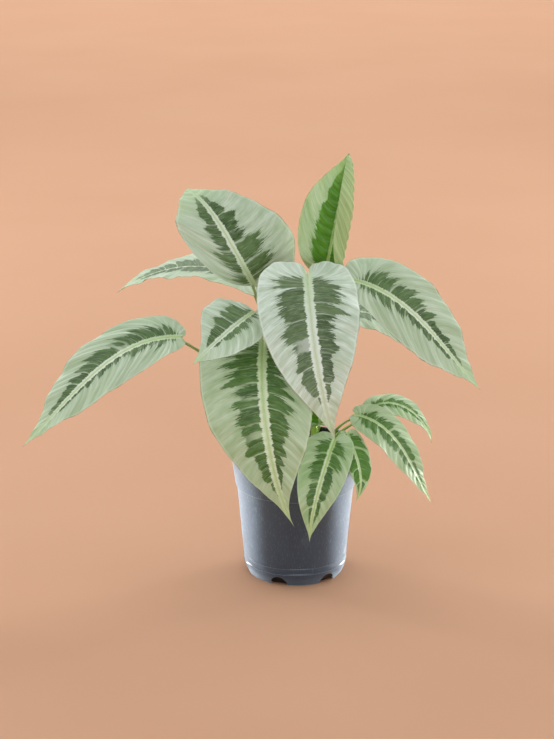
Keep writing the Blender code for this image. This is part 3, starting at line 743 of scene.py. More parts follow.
def pale_rib(add, leaf, under):
    """Paints the rib over the colour under it: half width = pale * taper * fray."""
    taper = add("MapRange", (leaf.along, 0.5, 1.0, 1.0, 0.35))
    fray = add("Math", (streaks(add, leaf, 1.6, 0.3, 1.0, 13.0), 0.8, -0.1),
               operation="MULTIPLY_ADD")
    fray = add("Math", (streaks(add, leaf, 7.0, 0.7, 2.0, 17.0), 1.1, fray),
               operation="MULTIPLY_ADD")
    spike = add("Math", (1.0, leaf.teeth), operation="SUBTRACT")
    fray = add("Math", (spike, 0.16, fray), operation="MULTIPLY_ADD")
    width = add("Math", (leaf.pale, taper), operation="MULTIPLY")
    width = add("Math", (width, fray), operation="MULTIPLY")
    within = add("MapRange", (add("Math", (width, leaf.off_mm), operation="SUBTRACT"),
                              -0.6, 0.45), **SMOOTH)
    edge = add("Math", (leaf.off_mm, leaf.pale), operation="DIVIDE")
    stripe = add("Mix", (add("MapRange", (edge, 0.15, 0.6), **SMOOTH),
                         tone(add, leaf, "#bcd49b", "#cbd8bc", "#b6d685"),
                         tone(add, leaf, "#d3e0c6", "#dae4d6", "#c9e0a3")), data_type="RGBA")
    near_stalk = add("MapRange", (leaf.along, 0.4, 0.02, 0.0, 0.7), **SMOOTH)
    stripe = add("Mix", (near_stalk, stripe, tone(add, leaf, "#a2bf76", "#b0c596", "#a2c870")),
                 data_type="RGBA")
    painted = add("Mix", (add("Math", (within, 0.94), operation="MULTIPLY"), under, stripe),
                  data_type="RGBA")
    middle = add("MapRange", (leaf.off_mm, 0.6, 0.2, 0.0, 0.22), **SMOOTH)
    return add("Mix", (middle, painted, tone(add, leaf, "#93b06c", "#9db488", "#8ab153")),
               data_type="RGBA")


print("a vein line's half width in mm:", round(0.06*BLOCK_VEINS*VEIN_SPACING/MM, 1))

# %% [markdown]
# The tip is a fresher green, with a dry brown point. A thin dry line runs round the margin, with
# a paler one inside it. Last comes the cuticle, which the light sees first: wax over cells about
# 0.5 mm across, drawn a little coarse to show. It gives a soft and slightly uneven sheen.

# %% Upper side of a blade


def tip_and_margin(add, leaf, under):
    """Paints the green tip, its brown point and the two lines of the margin over the leaf."""
    dry = add("MapRange", (streaks(add, leaf, 0.9, 0.3, 2.0, 17.0), 0.45, 0.6, 0.35, 0.9),
              **SMOOTH)
    rim = add("MapRange", (leaf.out, 0.985, 0.994), **SMOOTH)
    coats = ((add("MapRange", (leaf.along, 0.68, 1.0, 0.0, 0.75), **SMOOTH),
              tone(add, leaf, "#adc999", "#b3cba0", "#a3c76e")),
             (add("MapRange", (leaf.along, 0.985, 0.995, 0.0, 0.75), **SMOOTH), colour("#7a6a48")),
             (add("MapRange", (leaf.out, 0.945, 0.97, 0.0, 0.45), **SMOOTH),
              tone(add, leaf, "#c3d3b3", "#d6e0d2", "#c6dc9f")),
             (add("Math", (rim, dry), operation="MULTIPLY"), colour("#77805a")))
    for share, coat in coats:
        under = add("Mix", (share, under, coat), data_type="RGBA")
    return under


def waxy_upper_side():
    """Silver, then the dark band, vein lines, pale rib, tip and margin, under a waxy cuticle."""
    finish, tree, shader = new_material("living_leaf_waxy_upper_side")
    add = partial(add_node, tree)
    leaf = leaf_values(add)
    band = dark_band(add, leaf)
    painted = add("Mix", (band, silver_skin(add, leaf), dark_green(add, leaf)), data_type="RGBA")
    painted = add("Mix", (pale_veins(add, leaf), painted,
                          tone(add, leaf, "#a9bd97", "#c3cebf", "#aacb80")), data_type="RGBA")
    painted = tip_and_margin(add, leaf, pale_rib(add, leaf, painted))
    tree.links.new(painted, shader.inputs["Base Color"])
    where = add("TexCoord", output="Object")
    cells = add("TexNoise", {"Vector": where, "Scale": 1400.0, "Detail": 2.0})
    bump = add("Bump", {"Strength": 0.12, "Distance": 0.0003, "Height": cells})
    tree.links.new(bump, shader.inputs["Normal"])
    gloss = add("MapRange", (cells, 0.3, 0.7, 0.36, 0.46), **SMOOTH)
    tree.links.new(gloss, shader.inputs["Roughness"])
    shader.inputs["IOR"].default_value = 1.43
    shader.inputs["Specular IOR Level"].default_value = 0.45
    return finish


upper_side = waxy_upper_side()
print("upper side nodes:", len(upper_side.node_tree.nodes))

# %% [markdown]
# Finish of the under side: no thick cuticle, so it is paler and matte, and the veins stand out
# as lighter ridges. The dark band of the upper side only shows through as a soft shade. Young
# leaves are thin and let more light through, so they are a bright yellow-green.

# %% Under side of a blade


def matte_under_side():
    """Pale green, a soft shade under the dark band, and lighter ridges on the veins and rib."""
    finish, tree, shader = new_material("living_leaf_matte_under_side")
    add = partial(add_node, tree)
    across, off, youth = (add("Attribute", output="Fac", attribute_name=key)
                          for key in ("across", "off_mm", "youth"))
    uv = add("UVMap", uv_map="veins")
    number = add("SeparateXYZ", (uv,), output="X")
    out = add("Math", (across,), operation="ABSOLUTE")
    stretch = add("Mapping", {"Vector": uv, "Scale": (4.0, 0.6, 1.0)})
    streak = add("TexNoise", {"Vector": stretch, "Scale": 1.0, "Detail": 4.0})
    leaf, light, shade, rib = (
        add("Mix", (youth, colour(grown), colour(young)), data_type="RGBA")
        for grown, young in (("#a3b893", "#8ca868"), ("#c2d0b6", "#aec58f"),
                             ("#8aa379", "#86a85c"), ("#a9bd8a", "#b4ca8c")))
    near_vein = add("Math", (number, 0.5), operation="PINGPONG")
    coats = ((add("MapRange", (streak, 0.35, 0.7)), light),
             (add("MapRange", (out, 0.62, 0.42, 0.0, 0.55), **SMOOTH), shade),
             (add("MapRange", (near_vein, 0.24, 0.06, 0.0, 0.85), **SMOOTH), light),
             (add("MapRange", (off, 2.4, 1.2), **SMOOTH), rib))
    for share, coat in coats:
        leaf = add("Mix", (share, leaf, coat), data_type="RGBA")
    tree.links.new(leaf, shader.inputs["Base Color"])
    where = add("TexCoord", output="Object")
    cells = add("TexNoise", {"Vector": where, "Scale": 1100.0, "Detail": 3.0})
    bump = add("Bump", {"Strength": 0.2, "Distance": 0.0003, "Height": cells})
    tree.links.new(bump, shader.inputs["Normal"])
    shader.inputs["Roughness"].default_value = 0.6
    shader.inputs["IOR"].default_value = 1.43
    shader.inputs["Specular IOR Level"].default_value = 0.35
    return finish


under_side = matte_under_side()
print("under side nodes:", len(under_side.node_tree.nodes))

# %% [markdown]
# Now the fourteen blades are made, each with its own seed for the waves in its margin.

# %% Make the blades
blades = [make_blade(name, leaf, seed, (upper_side, under_side))
          for seed, (name, leaf) in enumerate(LEAVES.items(), 1)]
print("triangles in all blades:", sum(2*len(b.data.polygons) for b in blades))

# %% [markdown]
# The stalks. A stalk rises from the soil, bends over and runs into the midrib from below. Near
# the soil it is wrapped in a sheath that opens into two thin wings, and above that it is round
# with a shallow groove on its inner side. It is a round profile carried along a Bezier curve,
# and the profile itself changes from one end to the other.

# %% Stalk maker
STALK_SIDES, STALK_STATIONS = 28, 90
KEEL_ROWS = 13                          # stations of the stretch that runs on under the blade
JOINT, KEEL_END = 0.012, 0.075          # shares of the rib where that stretch starts and ends
FOOT, NECK = 2.2*MM, 1.2*MM             # radii of a full-sized stalk at its two ends


def make_stalk(name, leaf, finish):
    """Profile radius = taper * (1 + sheath wings - groove), swept on a cubic Bezier curve."""
    size = leaf["size"]
    neck, foot = NECK * size**0.5, FOOT * size**0.5
    (point,), (ahead,), _, (up,) = rib_frame(leaf, np.array([JOINT]))
    depth = 0.7*MM + neck + 0.4*MM      # of the stalk's axis under the blade, at the joint
    end = point - up * depth
    start = np.array([*leaf["stalk"], 0])*MM + np.array([0, 0, SOIL_TOP - 1.5*MM])
    enter = unit(ahead + np.array([0, 0, 0.6]))
    height = end[2] - start[2]
    reach = min(18*MM, 0.4*height)
    path = bezier([start, start + (0, 0, 0.6*height), end - enter*reach, end],
                  np.linspace(0, 1, STALK_STATIONS))
    # The last stretch runs on along the keel, where it thins out under the blade.
    on_point, _, _, on_up = rib_frame(leaf, np.linspace(JOINT, KEEL_END, KEEL_ROWS + 1)[1:])
    sink = np.linspace(1.0, 0.1, KEEL_ROWS)[:, None] * depth
    path = np.vstack([path, on_point - on_up*sink])
    share = np.concatenate([np.linspace(0, 1, STALK_STATIONS), np.ones(KEEL_ROWS)])
    run = np.concatenate([[0], np.cumsum(np.linalg.norm(np.diff(path, axis=0), axis=1))])

    ahead = unit(np.gradient(path, axis=0))
    inner = -np.array([*leaf["stalk"], 0.0])
    inner = unit(inner + 1e-6)[None] + 0*ahead
    inner = unit(inner - (inner*ahead).sum(-1, keepdims=True)*ahead)
    beside = np.cross(ahead, inner)
    angle = np.linspace(0, 2*pi, STALK_SIDES, endpoint=False)[None]
    radius = np.interp(share, [0, 0.12, 0.75, 1.0], [foot*1.15, foot, neck*1.05, neck])
    radius[STALK_STATIONS:] = neck * np.linspace(1.0, 0.45, KEEL_ROWS)
    sheath = ease((0.42 - share)/0.42)[:, None]
    # Angle 0 faces the middle of the plant: the groove is there, the wings 42 degrees beside it.
    turned = (angle + pi) % (2*pi) - pi
    wing = sheath * 0.75 * np.exp(-((np.abs(turned) - radians(42)) / radians(13))**2)
    groove = (0.16 + 0.25*sheath) * np.exp(-(turned / radians(24))**2) * ease(share*8)[:, None]
    ridges = 0.018 * np.sin(9*turned + 2.0*np.sin(run[:, None]/(22*MM)))
    form = radius[:, None] * (1 + wing - groove + ridges)
    rings = path[:, None] + form[..., None] * (np.cos(angle)[..., None]*inner[:, None]
                                               + np.sin(angle)[..., None]*beside[:, None])
    points, quads, tris = skin(rings, path[0], path[-1])
    values = dict(share=np.append(np.repeat(share, STALK_SIDES), (0, 1)),
                  youth=np.full(len(points), leaf["youth"]),
                  angle=np.append(np.broadcast_to(np.abs(turned)/pi, rings.shape[:2]).ravel(),
                                  (0, 0)),
                  run_mm=np.append(np.repeat(run/MM, STALK_SIDES), (0, run[-1]/MM)))
    piece = make_piece(name + "_petiole", points, quads, tris, values)
    piece.data.materials.append(finish)
    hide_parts(name + "_stalk")
    return piece, run[-1]


print("points in a stalk:", STALK_SIDES * (STALK_STATIONS + KEEL_ROWS))

# %% [markdown]
# Finish of a stalk: a fleshy stem with a smooth skin, moist and a little glossy. It is pale at
# the sheath, where little light reaches it, green above, and browner and speckled where it has
# aged. The streaks run along the stem, so they are read from the stalk's own length and turn.

# %% Fleshy stem finish


def fleshy_stem():
    """Green that pales to the sheath, with long streaks and fine olive-brown specks."""
    finish, tree, shader = new_material("living_stem_fleshy_smooth")
    add = partial(add_node, tree)
    share, youth, angle, run = (add("Attribute", output="Fac", attribute_name=key)
                                for key in ("share", "youth", "angle", "run_mm"))
    at = add("CombineXYZ", (add("Math", (angle, 9.0), operation="MULTIPLY"),
                            add("Math", (run, 0.06), operation="MULTIPLY"), youth))
    streak = add("TexNoise", {"Vector": at, "Scale": 1.0, "Detail": 3.0})
    where = add("TexCoord", output="Object")
    # Specks are about 0.6 mm across on the real stem.
    specks = add("TexNoise", {"Vector": where, "Scale": 900.0, "Detail": 2.0})
    grown = add("ValToRGB", (share,), stops=[
        (0.0, colour("#cbe08a")), (0.15, colour("#aed45e")), (0.45, colour("#93bb55")),
        (0.85, colour("#88a160")), (1.0, colour("#a0b780"))])
    young = add("ValToRGB", (share,), stops=[
        (0.0, colour("#cddb94")), (0.3, colour("#9fc75c")), (1.0, colour("#a6c871"))])
    stem = add("Mix", (youth, grown, young), data_type="RGBA")
    for marks, low, most, code in ((streak, 0.4, 0.35, "#64763f"), (specks, 0.62, 0.45, "#6a5a3c")):
        share_of_marks = add("MapRange", (marks, low, 0.7, 0.0, most))
        stem = add("Mix", (share_of_marks, stem, colour(code)), data_type="RGBA")
    tree.links.new(stem, shader.inputs["Base Color"])
    bump = add("Bump", {"Strength": 0.25, "Distance": 0.0004, "Height": streak})
    tree.links.new(bump, shader.inputs["Normal"])
    shader.inputs["Roughness"].default_value = 0.38
    shader.inputs["IOR"].default_value = 1.42
    return finish


stem_finish = fleshy_stem()
stalks = [make_stalk(name, leaf, stem_finish) for name, leaf in LEAVES.items()]
print("stalk lengths in mm:", [round(float(length/MM)) for _, length in stalks])

# %% [markdown]
# The pot's walls come first, because the mix inside has to follow them: a tapering body, and a
# collar that stands out from it by a small step. Both are given as outside radii by height.

# %% The pot's walls
WALL, BOTTOM, FOOT_RADIUS = 1.2*MM, 1.6*MM, 43*MM
FOOT_SHARE, RING_SHARES = 0.06, (0.094, 0.142)      # heights of the foot and the two fine rings
COLLAR_FOOT = POT_HEIGHT - 35*MM
BODY_TOP, COLLAR_STEP = 0.885 * RIM_RADIUS, 1.3*MM


def body_radius(z):
    """Outside radius of the tapering body at height z."""
    return np.interp(z, [0, FOOT_SHARE*POT_HEIGHT, COLLAR_FOOT],
                     [FOOT_RADIUS, 1.067*FOOT_RADIUS, BODY_TOP])


def collar_radius(z):
    """Outside radius of the collar at height z."""
    return np.interp(z, [COLLAR_FOOT, POT_HEIGHT], [BODY_TOP + COLLAR_STEP, RIM_RADIUS - 1*MM])


def inner_radius(z):
    """Inside radius at height z: the collar's or the body's outside, less the wall."""
    return np.where(z > COLLAR_FOOT, collar_radius(z), body_radius(z)) - WALL


print("inside radius at the soil in mm:", round(float(inner_radius(SOIL_TOP)/MM), 1))

# %% [markdown]
# The potting mix: damp peat with bits of bark. Its body is turned like the pot, with an uneven,
# lumpy top. Loose crumbs and bark chips lie on it, each one a twenty-sided lump pushed out of
# shape, because hundreds of them must stay light.

# %% Potting mix
SOIL_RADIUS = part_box("soil")[1].x
SOIL_GAP = 0.3*MM                       # between the mix and the pot's inner wall
SOIL_RINGS, SOIL_TURNS = 80, 220        # rings over the top of the mix, and points on each


def lumps(x, y, scale, seed, terms=14):
    """Smooth random heights: the mean of cosine waves with random headings and phases."""
    pick = np.random.default_rng(seed)
    heading, phase = pick.uniform(0, 2*pi, (2, terms))
    pitch = scale * pick.uniform(0.6, 1.5, terms)
    x, y = np.asarray(x)[..., None], np.asarray(y)[..., None]
    return np.cos((x*np.cos(heading) + y*np.sin(heading)) * 2*pi/pitch + phase).mean(-1)


def soil_height(x, y):
    """Height of the mix: lumps of three sizes, in millimetres, above its mean surface."""
    return SOIL_TOP + MM*(2.4*lumps(x, y, 38*MM, 3) + 2.2*lumps(x, y, 11*MM, 4)
                          + 1.6*lumps(x, y, 4*MM, 5) - 0.4)


def make_mix(finish):
    """Turned body: up the pot's inner wall, a small gap from it, then in over the uneven top."""
    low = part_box("soil")[0].z
    side = np.concatenate([np.linspace(low, COLLAR_FOOT, 14),
                           np.linspace(COLLAR_FOOT + 2*MM, SOIL_TOP - 3*MM, 6)])
    wall_r = np.append(0.4*FOOT_RADIUS, inner_radius(side) - SOIL_GAP)
    wall_z = np.append(low, side)
    top_r = SOIL_RADIUS * np.linspace(0.992, 0.012, SOIL_RINGS)
    turn = np.linspace(0, 2*pi, SOIL_TURNS, endpoint=False)[None]
    r = np.concatenate([wall_r, top_r])[:, None]
    x, y = r*np.cos(turn), r*np.sin(turn)
    level = np.concatenate([wall_z, np.full(SOIL_RINGS, SOIL_TOP)])
    z = np.broadcast_to(level[:, None], x.shape).copy()
    z[len(wall_r):] = soil_height(x, y)[len(wall_r):]
    rings = np.stack([x, y, z], -1)
    points, quads, tris = skin(rings, (0, 0, low), (0, 0, soil_height(0.0, 0.0)))
    piece = make_piece("potting_mix", points, quads, tris)
    piece.data.materials.append(finish)
    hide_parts("soil")
    return piece


def make_crumbs(name, count, low, high, flat, seed, finish):
    """Lumps: one icosahedron copied, turned, squashed and jittered, as whole arrays."""
    pick = np.random.default_rng(seed)
    g = (1 + 5**0.5) / 2
    ico = unit(np.array([(-1, g, 0), (1, g, 0), (-1, -g, 0), (1, -g, 0), (0, -1, g), (0, 1, g),
                         (0, -1, -g), (0, 1, -g), (g, 0, -1), (g, 0, 1), (-g, 0, -1), (-g, 0, 1)]))
    faces = np.array([(0, 11, 5), (0, 5, 1), (0, 1, 7), (0, 7, 10), (0, 10, 11), (1, 5, 9),
                      (5, 11, 4), (11, 10, 2), (10, 7, 6), (7, 1, 8), (3, 9, 4), (3, 4, 2),
                      (3, 2, 6), (3, 6, 8), (3, 8, 9), (4, 9, 5), (2, 4, 11), (6, 2, 10),
                      (8, 6, 7), (9, 8, 1)])
    r = (SOIL_RADIUS - 3*MM) * np.sqrt(pick.uniform(0.0, 1.0, count))
    bearing = pick.uniform(0, 2*pi, count)
    x, y = r*np.cos(bearing), r*np.sin(bearing)
    size = MM * pick.uniform(low, high, count)[:, None, None]
    squash = np.stack([np.ones(count), pick.uniform(0.5, 0.9, count),
                       pick.uniform(*flat, count)], -1)[:, None]
    lump = ico[None] * squash * size * pick.uniform(0.72, 1.2, (count, 12, 1))
    spin, tilt = pick.uniform(0, 2*pi, count), pick.normal(0, 0.45, count)
    c, s, ct, st = np.cos(spin), np.sin(spin), np.cos(tilt), np.sin(tilt)
    zero, one = np.zeros(count), np.ones(count)
    roll = np.stack([one, zero, zero, zero, ct, -st, zero, st, ct], -1).reshape(-1, 3, 3)
    yaw = np.stack([c, -s, zero, s, c, zero, zero, zero, one], -1).reshape(-1, 3, 3)
    lump = np.einsum("nij,njk,nvk->nvi", yaw, roll, lump)
    centre = np.stack([x, y, soil_height(x, y)], -1)
    points = (lump + centre[:, None]).reshape(-1, 3)
    tris = (faces[None] + 12*np.arange(count)[:, None, None]).reshape(-1, 3)
    piece = make_piece(name, points, np.zeros((0, 4), int), tris,
                       {"tone": np.repeat(pick.uniform(0, 1, count), 12)})
    piece.data.polygons.foreach_set("use_smooth", [False] * len(piece.data.polygons))
    piece.data.materials.append(finish)
    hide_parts("soil")
    return piece


print("soil radius in mm:", round(SOIL_RADIUS/MM, 1))

# %% [markdown]
# Finish of the mix: milled peat, almost black when damp and brown where it has dried, with no
# shine to speak of. The crumbs and the bark use the same idea with their own tones.

# %% Peat and bark finishes


def damp_peat(name, wet, dry, grain):
    """Two browns mixed by noise of the given grain size in metres, on a rough matte shader."""
    finish, tree, shader = new_material(name)
    add = partial(add_node, tree)
    where = add("TexCoord", output="Object")
    crumb_tone = add("Attribute", output="Fac", attribute_name="tone")
    grains = add("TexNoise", {"Vector": where, "Scale": 1/grain, "Detail": 6.0,
                              "Roughness": 0.7})
    patches = add("TexNoise", {"Vector": where, "Scale": 45.0, "Detail": 2.0})
    dryness = add("Math", (grains, patches), operation="MULTIPLY")
    dryness = add("Math", (crumb_tone, 0.2, dryness), operation="MULTIPLY_ADD")
    brown = add("ValToRGB", (dryness,), stops=[
        (0.18, colour(wet)), (0.34, colour(dry)), (0.6, colour(dry))])
    tree.links.new(brown, shader.inputs["Base Color"])
    bump = add("Bump", {"Strength": 0.9, "Distance": 0.0008, "Height": grains})
    tree.links.new(bump, shader.inputs["Normal"])
    shader.inputs["Roughness"].default_value = 0.95
    shader.inputs["Specular IOR Level"].default_value = 0.25
    return finish


peat = damp_peat("milled_peat_damp", "#17110d", "#41301f", 2.2*MM)
bark = damp_peat("composted_bark_chip", "#2a1b11", "#6b4a2e", 1.2*MM)
filling = [make_mix(peat), make_crumbs("peat_crumbs", 900, 0.7, 2.3, (0.5, 0.9), 21, peat),
           make_crumbs("bark_chips", 90, 2.0, 5.0, (0.16, 0.35), 22, bark)]
print("faces:", {piece.name: len(piece.data.polygons) for piece in filling})

# %% [markdown]
# The pot: a moulded nursery pot with a thin wall, a wider collar below a rolled rim, two fine
# rings near the foot and six arched drain notches round its base. It is turned from one section
# that goes up the outside, over the rim and down the inside. Corners that look sharp are small
# round fillets, as a mould needs, so they catch the light. The notches are cut with a boolean,
# the one tool that leaves clean walls in a thin shell.

# %% Pot section


def fillet(corners, pieces=5):
    """Rounds each corner (r, z, radius) of a section with a quadratic Bezier of that reach."""
    corners = np.asarray(corners, float)
    spots = corners[:, :2]
    to_last, to_next = np.diff(spots, axis=0)[:-1], np.diff(spots, axis=0)[1:]
    before, after = np.linalg.norm(to_last, axis=1), np.linalg.norm(to_next, axis=1)
    reach = np.minimum(corners[1:-1, 2], 0.45*np.minimum(before, after))[:, None]
    enter, leave = spots[1:-1] - unit(to_last)*reach, spots[1:-1] + unit(to_next)*reach
    t = np.linspace(0, 1, pieces)[None, :, None]
    arc = (1-t)**2*enter[:, None] + 2*t*(1-t)*spots[1:-1][:, None] + t*t*leave[:, None]
    return np.vstack([spots[:1], arc.reshape(-1, 2), spots[-1:]])


def pot_section():
    """Corners of the half section in metres, each with its fillet, from foot to inner floor."""
    low, high = (share*POT_HEIGHT for share in RING_SHARES)
    top, foot_top = POT_HEIGHT, FOOT_SHARE*POT_HEIGHT
    out = [(2*MM, 0, 0), (FOOT_RADIUS - 0.4*MM, 0, 0.6*MM), (FOOT_RADIUS + 0.3*MM, 0.7*MM, 0.4*MM),
           (body_radius(foot_top), foot_top, 2.5*MM), (body_radius(low), low, 0.2*MM),
           (body_radius(low) + 0.7*MM, low + 0.4*MM, 0.35*MM),
           (body_radius(low + 1.3*MM), low + 1.5*MM, 0.4*MM),
           (body_radius(high), high, 0.15*MM), (body_radius(high) + 0.35*MM, high + 0.3*MM, 0.2*MM),
           (body_radius(high + 0.8*MM), high + 0.9*MM, 0.2*MM),
           (body_radius(50*MM), 50*MM, 0), (BODY_TOP, COLLAR_FOOT, 0.4*MM),
           (BODY_TOP + COLLAR_STEP, COLLAR_FOOT + 0.4*MM, 0.5*MM)]
    lip = [(collar_radius(top - 3.2*MM), top - 3.2*MM, 0.4*MM),
           (RIM_RADIUS - 0.1*MM, top - 2.7*MM, 0.5*MM), (RIM_RADIUS, top - 0.9*MM, 0.6*MM),
           (RIM_RADIUS - 0.8*MM, top, 0.5*MM), (RIM_RADIUS - 1.9*MM, top, 0.5*MM),
           (RIM_RADIUS - 2.3*MM, top - 1.2*MM, 0.4*MM)]
    inside = [(collar_radius(top - 4*MM) - WALL, top - 4*MM, 1*MM),
              (collar_radius(COLLAR_FOOT) - WALL, COLLAR_FOOT + 1.4*MM, 0.5*MM),
              (BODY_TOP - WALL, COLLAR_FOOT, 0.5*MM),
              (body_radius(foot_top) - WALL, foot_top, 2.5*MM),
              (body_radius(BOTTOM) - WALL, BOTTOM, 0.8*MM), (2*MM, BOTTOM, 0)]
    return fillet(out + lip + inside)


section = pot_section()
print("points in the pot's section:", len(section))

# %% Pot and its drain notches
NOTCHES, FIRST_NOTCH = 6, radians(40)
NOTCH_WIDE, NOTCH_HIGH, NOTCH_DEEP = 16*MM, 8.5*MM, 6*MM


def notch_blocks():
    """Arched blocks: an ellipse arch on straight legs, carried outwards through the wall."""
    arch = np.linspace(0, pi, 33)
    flat = np.vstack([[(NOTCH_WIDE/2, -5*MM)],
                      np.stack([NOTCH_WIDE/2*np.cos(arch), NOTCH_HIGH*np.sin(arch)], -1),
                      [(-NOTCH_WIDE/2, -5*MM)]])
    bearings = FIRST_NOTCH + np.arange(NOTCHES) * 2*pi/NOTCHES
    points, quads, tris = [], [], []
    for bearing in bearings:
        outward = np.array([sin(bearing), -cos(bearing), 0])
        beside = np.array([cos(bearing), sin(bearing), 0])
        reach = np.array([FOOT_RADIUS - NOTCH_DEEP, FOOT_RADIUS + 12*MM])
        ring = (outward*reach[:, None, None] + beside*flat[None, :, :1]
                + np.array([0, 0, 1.0])*flat[None, :, 1:])
        middle = np.array([0, 0, 0.3*NOTCH_HIGH])
        p, q, t = skin(ring, outward*reach[0] + middle, outward*reach[1] + middle)
        shift = sum(len(block) for block in points)
        points.append(p), quads.append(q + shift), tris.append(t + shift)
    return np.vstack(points), np.vstack(quads), np.vstack(tris)


def make_pot(finish, turns=320):
    """Turns the section right round, cuts the notches and marks edges sharper than 38 degrees."""
    angle = np.linspace(0, 2*pi, turns, endpoint=False)[None]
    r, z = section[:, :1], section[:, 1:]
    rings = np.stack([r*np.cos(angle), r*np.sin(angle), np.broadcast_to(z, (len(r), turns))], -1)
    points, quads, tris = skin(rings, (0, 0, 0), (0, 0, BOTTOM))
    pot = make_piece("nursery_pot", points, quads, tris)
    pot.data.materials.append(finish)
    blocks = bpy.data.meshes.new("notch_blocks")
    p, q, t = notch_blocks()
    blocks.from_pydata(p.tolist(), [], q.tolist() + t.tolist())
    cutter = bpy.data.objects.new("notch_blocks", blocks)
    bpy.context.collection.objects.link(cutter)
    cut = pot.modifiers.new("drain notches", "BOOLEAN")
    cut.operation, cut.solver, cut.object = "DIFFERENCE", "EXACT", cutter
    bpy.context.view_layer.update()
    shape = bpy.data.meshes.new_from_object(
        pot.evaluated_get(bpy.context.evaluated_depsgraph_get()))
    pot.modifiers.clear()
    pot.data = shape
    shape.name = "nursery_pot"
    bpy.data.objects.remove(cutter)
    shape.polygons.foreach_set("use_smooth", [True] * len(shape.polygons))
    shape.set_sharp_from_angle(angle=radians(38))
    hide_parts("pot")
    return pot


# %% [markdown]
# Finish of the pot: polypropylene, injection moulded and coloured right through. The mould was
# polished, so the wall is smooth and slightly wavy. It is never quite even: handling leaves
# faint smears and hair-fine scratches that dull the gloss here and there. A film of fine pale
# dust lightens the sides, where the eye looks along the wall. The inner wall has no dust and a
# near-black colour of its own, which is painted shade for the shadow inside the pot.

# %% Moulded plastic finish


def moulded_polypropylene(name, low, high, dust):
    """Dark blue-grey plastic: smears and scratches in its roughness, a slow wave in its face."""
    finish, tree, shader = new_material(name)
    add = partial(add_node, tree)
    where = add("TexCoord", output="Object")
    smear_at = add("Mapping", {"Vector": where, "Scale": (1.0, 1.0, 0.35)})
    smears = add("TexNoise", {"Vector": smear_at, "Scale": 55.0, "Detail": 5.0,
                              "Roughness": 0.65})
    scratch_at = add("Mapping", {"Vector": where, "Scale": (1.0, 1.0, 0.06)})
    # Scratches are under 0.1 mm wide on the real pot; 0.4 mm here, so that they show.
    scratches = add("TexNoise", {"Vector": scratch_at, "Scale": 2200.0, "Detail": 1.0})
    smeared = add("MapRange", (smears, 0.35, 0.75, 0.2, 0.3))
    scratched = add("MapRange", (scratches, 0.62, 0.72, 0.0, 0.12))
    rough = add("Math", (scratched, smeared), operation="ADD")
    tree.links.new(rough, shader.inputs["Roughness"])
    share = add("MapRange", (smears, 0.4, 0.8))
    tint = add("Mix", (share, colour(low), colour(high)), data_type="RGBA")
    tree.links.new(tint, shader.inputs["Base Color"])
    wave = add("TexNoise", {"Vector": where, "Scale": 30.0, "Detail": 1.0})
    fine = add("TexNoise", {"Vector": where, "Scale": 1800.0, "Detail": 2.0})
    bump = add("Bump", {"Strength": 0.12, "Distance": 0.0015, "Height": wave})
    bump = add("Bump", {"Strength": 0.05, "Distance": 0.0002, "Height": fine, "Normal": bump})
    tree.links.new(bump, shader.inputs["Normal"])
    shader.inputs["IOR"].default_value = 1.49
    # The film of fine dust: it catches light towards the edges, where the eye looks along it.
    shader.inputs["Sheen Weight"].default_value = dust
    shader.inputs["Sheen Roughness"].default_value = 0.56
    shader.inputs["Sheen Tint"].default_value = colour("#cde0f0")
    return finish


def give_inner_wall(piece, finish):
    """Gives finish to the faces between floor and rim that face the axis: x nx + y ny < 0."""
    count = len(piece.data.polygons)
    middles, normals = np.zeros(3*count, np.float32), np.zeros(3*count, np.float32)
    piece.data.polygons.foreach_get("center", middles)
    piece.data.polygons.foreach_get("normal", normals)
    middles, normals = middles.reshape(-1, 3), normals.reshape(-1, 3)
    inwards = (middles[:, :2] * normals[:, :2]).sum(1) < 0
    inner = inwards & (middles[:, 2] > BOTTOM + 1*MM) & (middles[:, 2] < POT_HEIGHT - 1*MM)
    piece.data.materials.append(finish)
    piece.data.polygons.foreach_set("material_index", inner.astype(np.int32))
    return int(inner.sum())


pot = make_pot(moulded_polypropylene("polypropylene_injection_moulded", "#0f2032", "#192d40", 1.0))
# The inner wall's near-black colour is painted shade for the shadow inside the pot.
inner_faces = give_inner_wall(
    pot, moulded_polypropylene("polypropylene_inside_painted_shade", "#0b0d10", "#1a1815", 0.0))
print("faces in the pot:", len(pot.data.polygons), "of them on the inner wall:", inner_faces)

# %% [markdown]
# The studio: a plain pale floor that runs far past the view, and a camera a little above the
# plant with a long lens. A matte sheet of warm paper needs no pattern, only a trace of cloud in
# its tone so that it doesn't look painted.

# %% Floor


def make_floor():
    """One large square of pale warm paper at the height of the pot's foot."""
    finish, tree, shader = new_material("backdrop_paper_matte")
    add = partial(add_node, tree)
    where = add("TexCoord", output="Object")
    cloud = add("TexNoise", {"Vector": where, "Scale": 3.0, "Detail": 3.0})
    tint = add("Mix", (cloud, colour("#b88c6e"), colour("#be9477")), data_type="RGBA")
    tree.links.new(tint, shader.inputs["Base Color"])
    shader.inputs["Roughness"].default_value = 0.9
    shader.inputs["Specular IOR Level"].default_value = 0.2
    mesh = bpy.data.meshes.new("floor")
    mesh.from_pydata([(-14, -14, 0), (14, -14, 0), (14, 14, 0), (-14, 14, 0)], [], [(0, 1, 2, 3)])
    mesh.materials.append(finish)
    floor = bpy.data.objects.new("floor", mesh)
    bpy.context.collection.objects.link(floor)
    return floor


floor = make_floor()
print("floor size in m:", tuple(floor.dimensions))

# %% Camera
lens = bpy.data.cameras.new("camera")
lens.lens, lens.sensor_width, lens.sensor_fit = 100, 36, "AUTO"
lens.clip_start, lens.clip_end = 0.05, 60
camera = bpy.data.objects.new("camera", lens)
camera.location = (-0.0165, -1.7395, 0.7382)
camera.rotation_euler = (radians(72.5), 0, 0)
bpy.context.collection.objects.link(camera)
bpy.context.scene.camera = camera
print("camera height in m:", round(camera.location.z, 3))

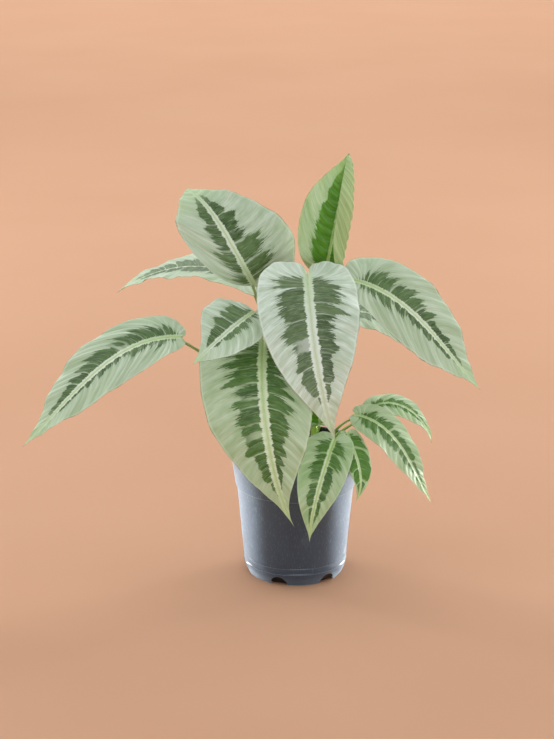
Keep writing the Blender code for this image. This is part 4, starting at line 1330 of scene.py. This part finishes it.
# %% [markdown]
# The lights are soft, as in a studio: a softbox on each side, one on each side at the back, a
# wide one in front, a scrim overhead and a large light over the backdrop. Two low strips behind
# have narrow beams that graze only the wall of the pot, where they light up its film of dust.
# None of them is seen by the camera.

# %% Lights
DAYLIGHT = "#fafcff"
PLANT_MIDDLE, POT_MIDDLE = 0.19, 0.065      # heights in metres that the lights are aimed at


def softbox(name, bearing, distance, height, size, power, spread=180, aim=PLANT_MIDDLE):
    """Area light at a bearing in degrees from the front, with a beam spread degrees wide."""
    lamp = bpy.data.lights.new(name, "AREA")
    lamp.shape, lamp.energy = "RECTANGLE", power
    lamp.size, lamp.size_y = size
    lamp.color, lamp.spread = colour(DAYLIGHT)[:3], radians(spread)
    box = bpy.data.objects.new(name, lamp)
    box.location = (distance*sin(radians(bearing)), -distance*cos(radians(bearing)), height)
    heading = np.array(box.location) - np.array([0, 0, aim])
    box.rotation_euler = (np.arctan2(np.hypot(heading[0], heading[1]), heading[2]), 0,
                          np.arctan2(heading[0], -heading[1]))
    box.visible_camera = False
    bpy.context.collection.objects.link(box)


for side, bearing in (("left", -1), ("right", 1)):
    softbox("softbox_" + side, 85*bearing, 1.7, 0.86, (1.5, 1.7), 12)
    softbox(f"softbox_{side}_back", 130*bearing, 1.8, 0.86, (1.2, 1.7), 12)
softbox("low_strip_left", -124, 0.85, 0.07, (0.5, 0.1), 0.42, 12, POT_MIDDLE)
softbox("low_strip_right", 126, 0.85, 0.07, (0.5, 0.1), 0.42, 12, POT_MIDDLE)
softbox("softbox_front", 8, 2.5, 0.55, (1.8, 1.0), 24)

sun = bpy.data.lights.new("overhead_scrim", "SUN")
sun.energy, sun.angle, sun.color = 0.75, radians(70), colour(DAYLIGHT)[:3]
scrim = bpy.data.objects.new("overhead_scrim", sun)
scrim.rotation_euler = (radians(28), radians(-12), 0)
bpy.context.collection.objects.link(scrim)

panel = bpy.data.lights.new("backdrop_light", "AREA")
panel.shape, panel.size, panel.size_y, panel.energy = "RECTANGLE", 8.0, 6.0, 320
backdrop_light = bpy.data.objects.new("backdrop_light", panel)
backdrop_light.location = (0, 4.6, 3.2)
backdrop_light.visible_camera = False
bpy.context.collection.objects.link(backdrop_light)

world = bpy.data.worlds.new("studio")
world.use_nodes = True
world.node_tree.nodes["Background"].inputs["Color"].default_value = colour("#fdfdff")
world.node_tree.nodes["Background"].inputs["Strength"].default_value = 0.22
bpy.context.scene.world = world
bpy.context.scene.view_settings.view_transform = "Standard"
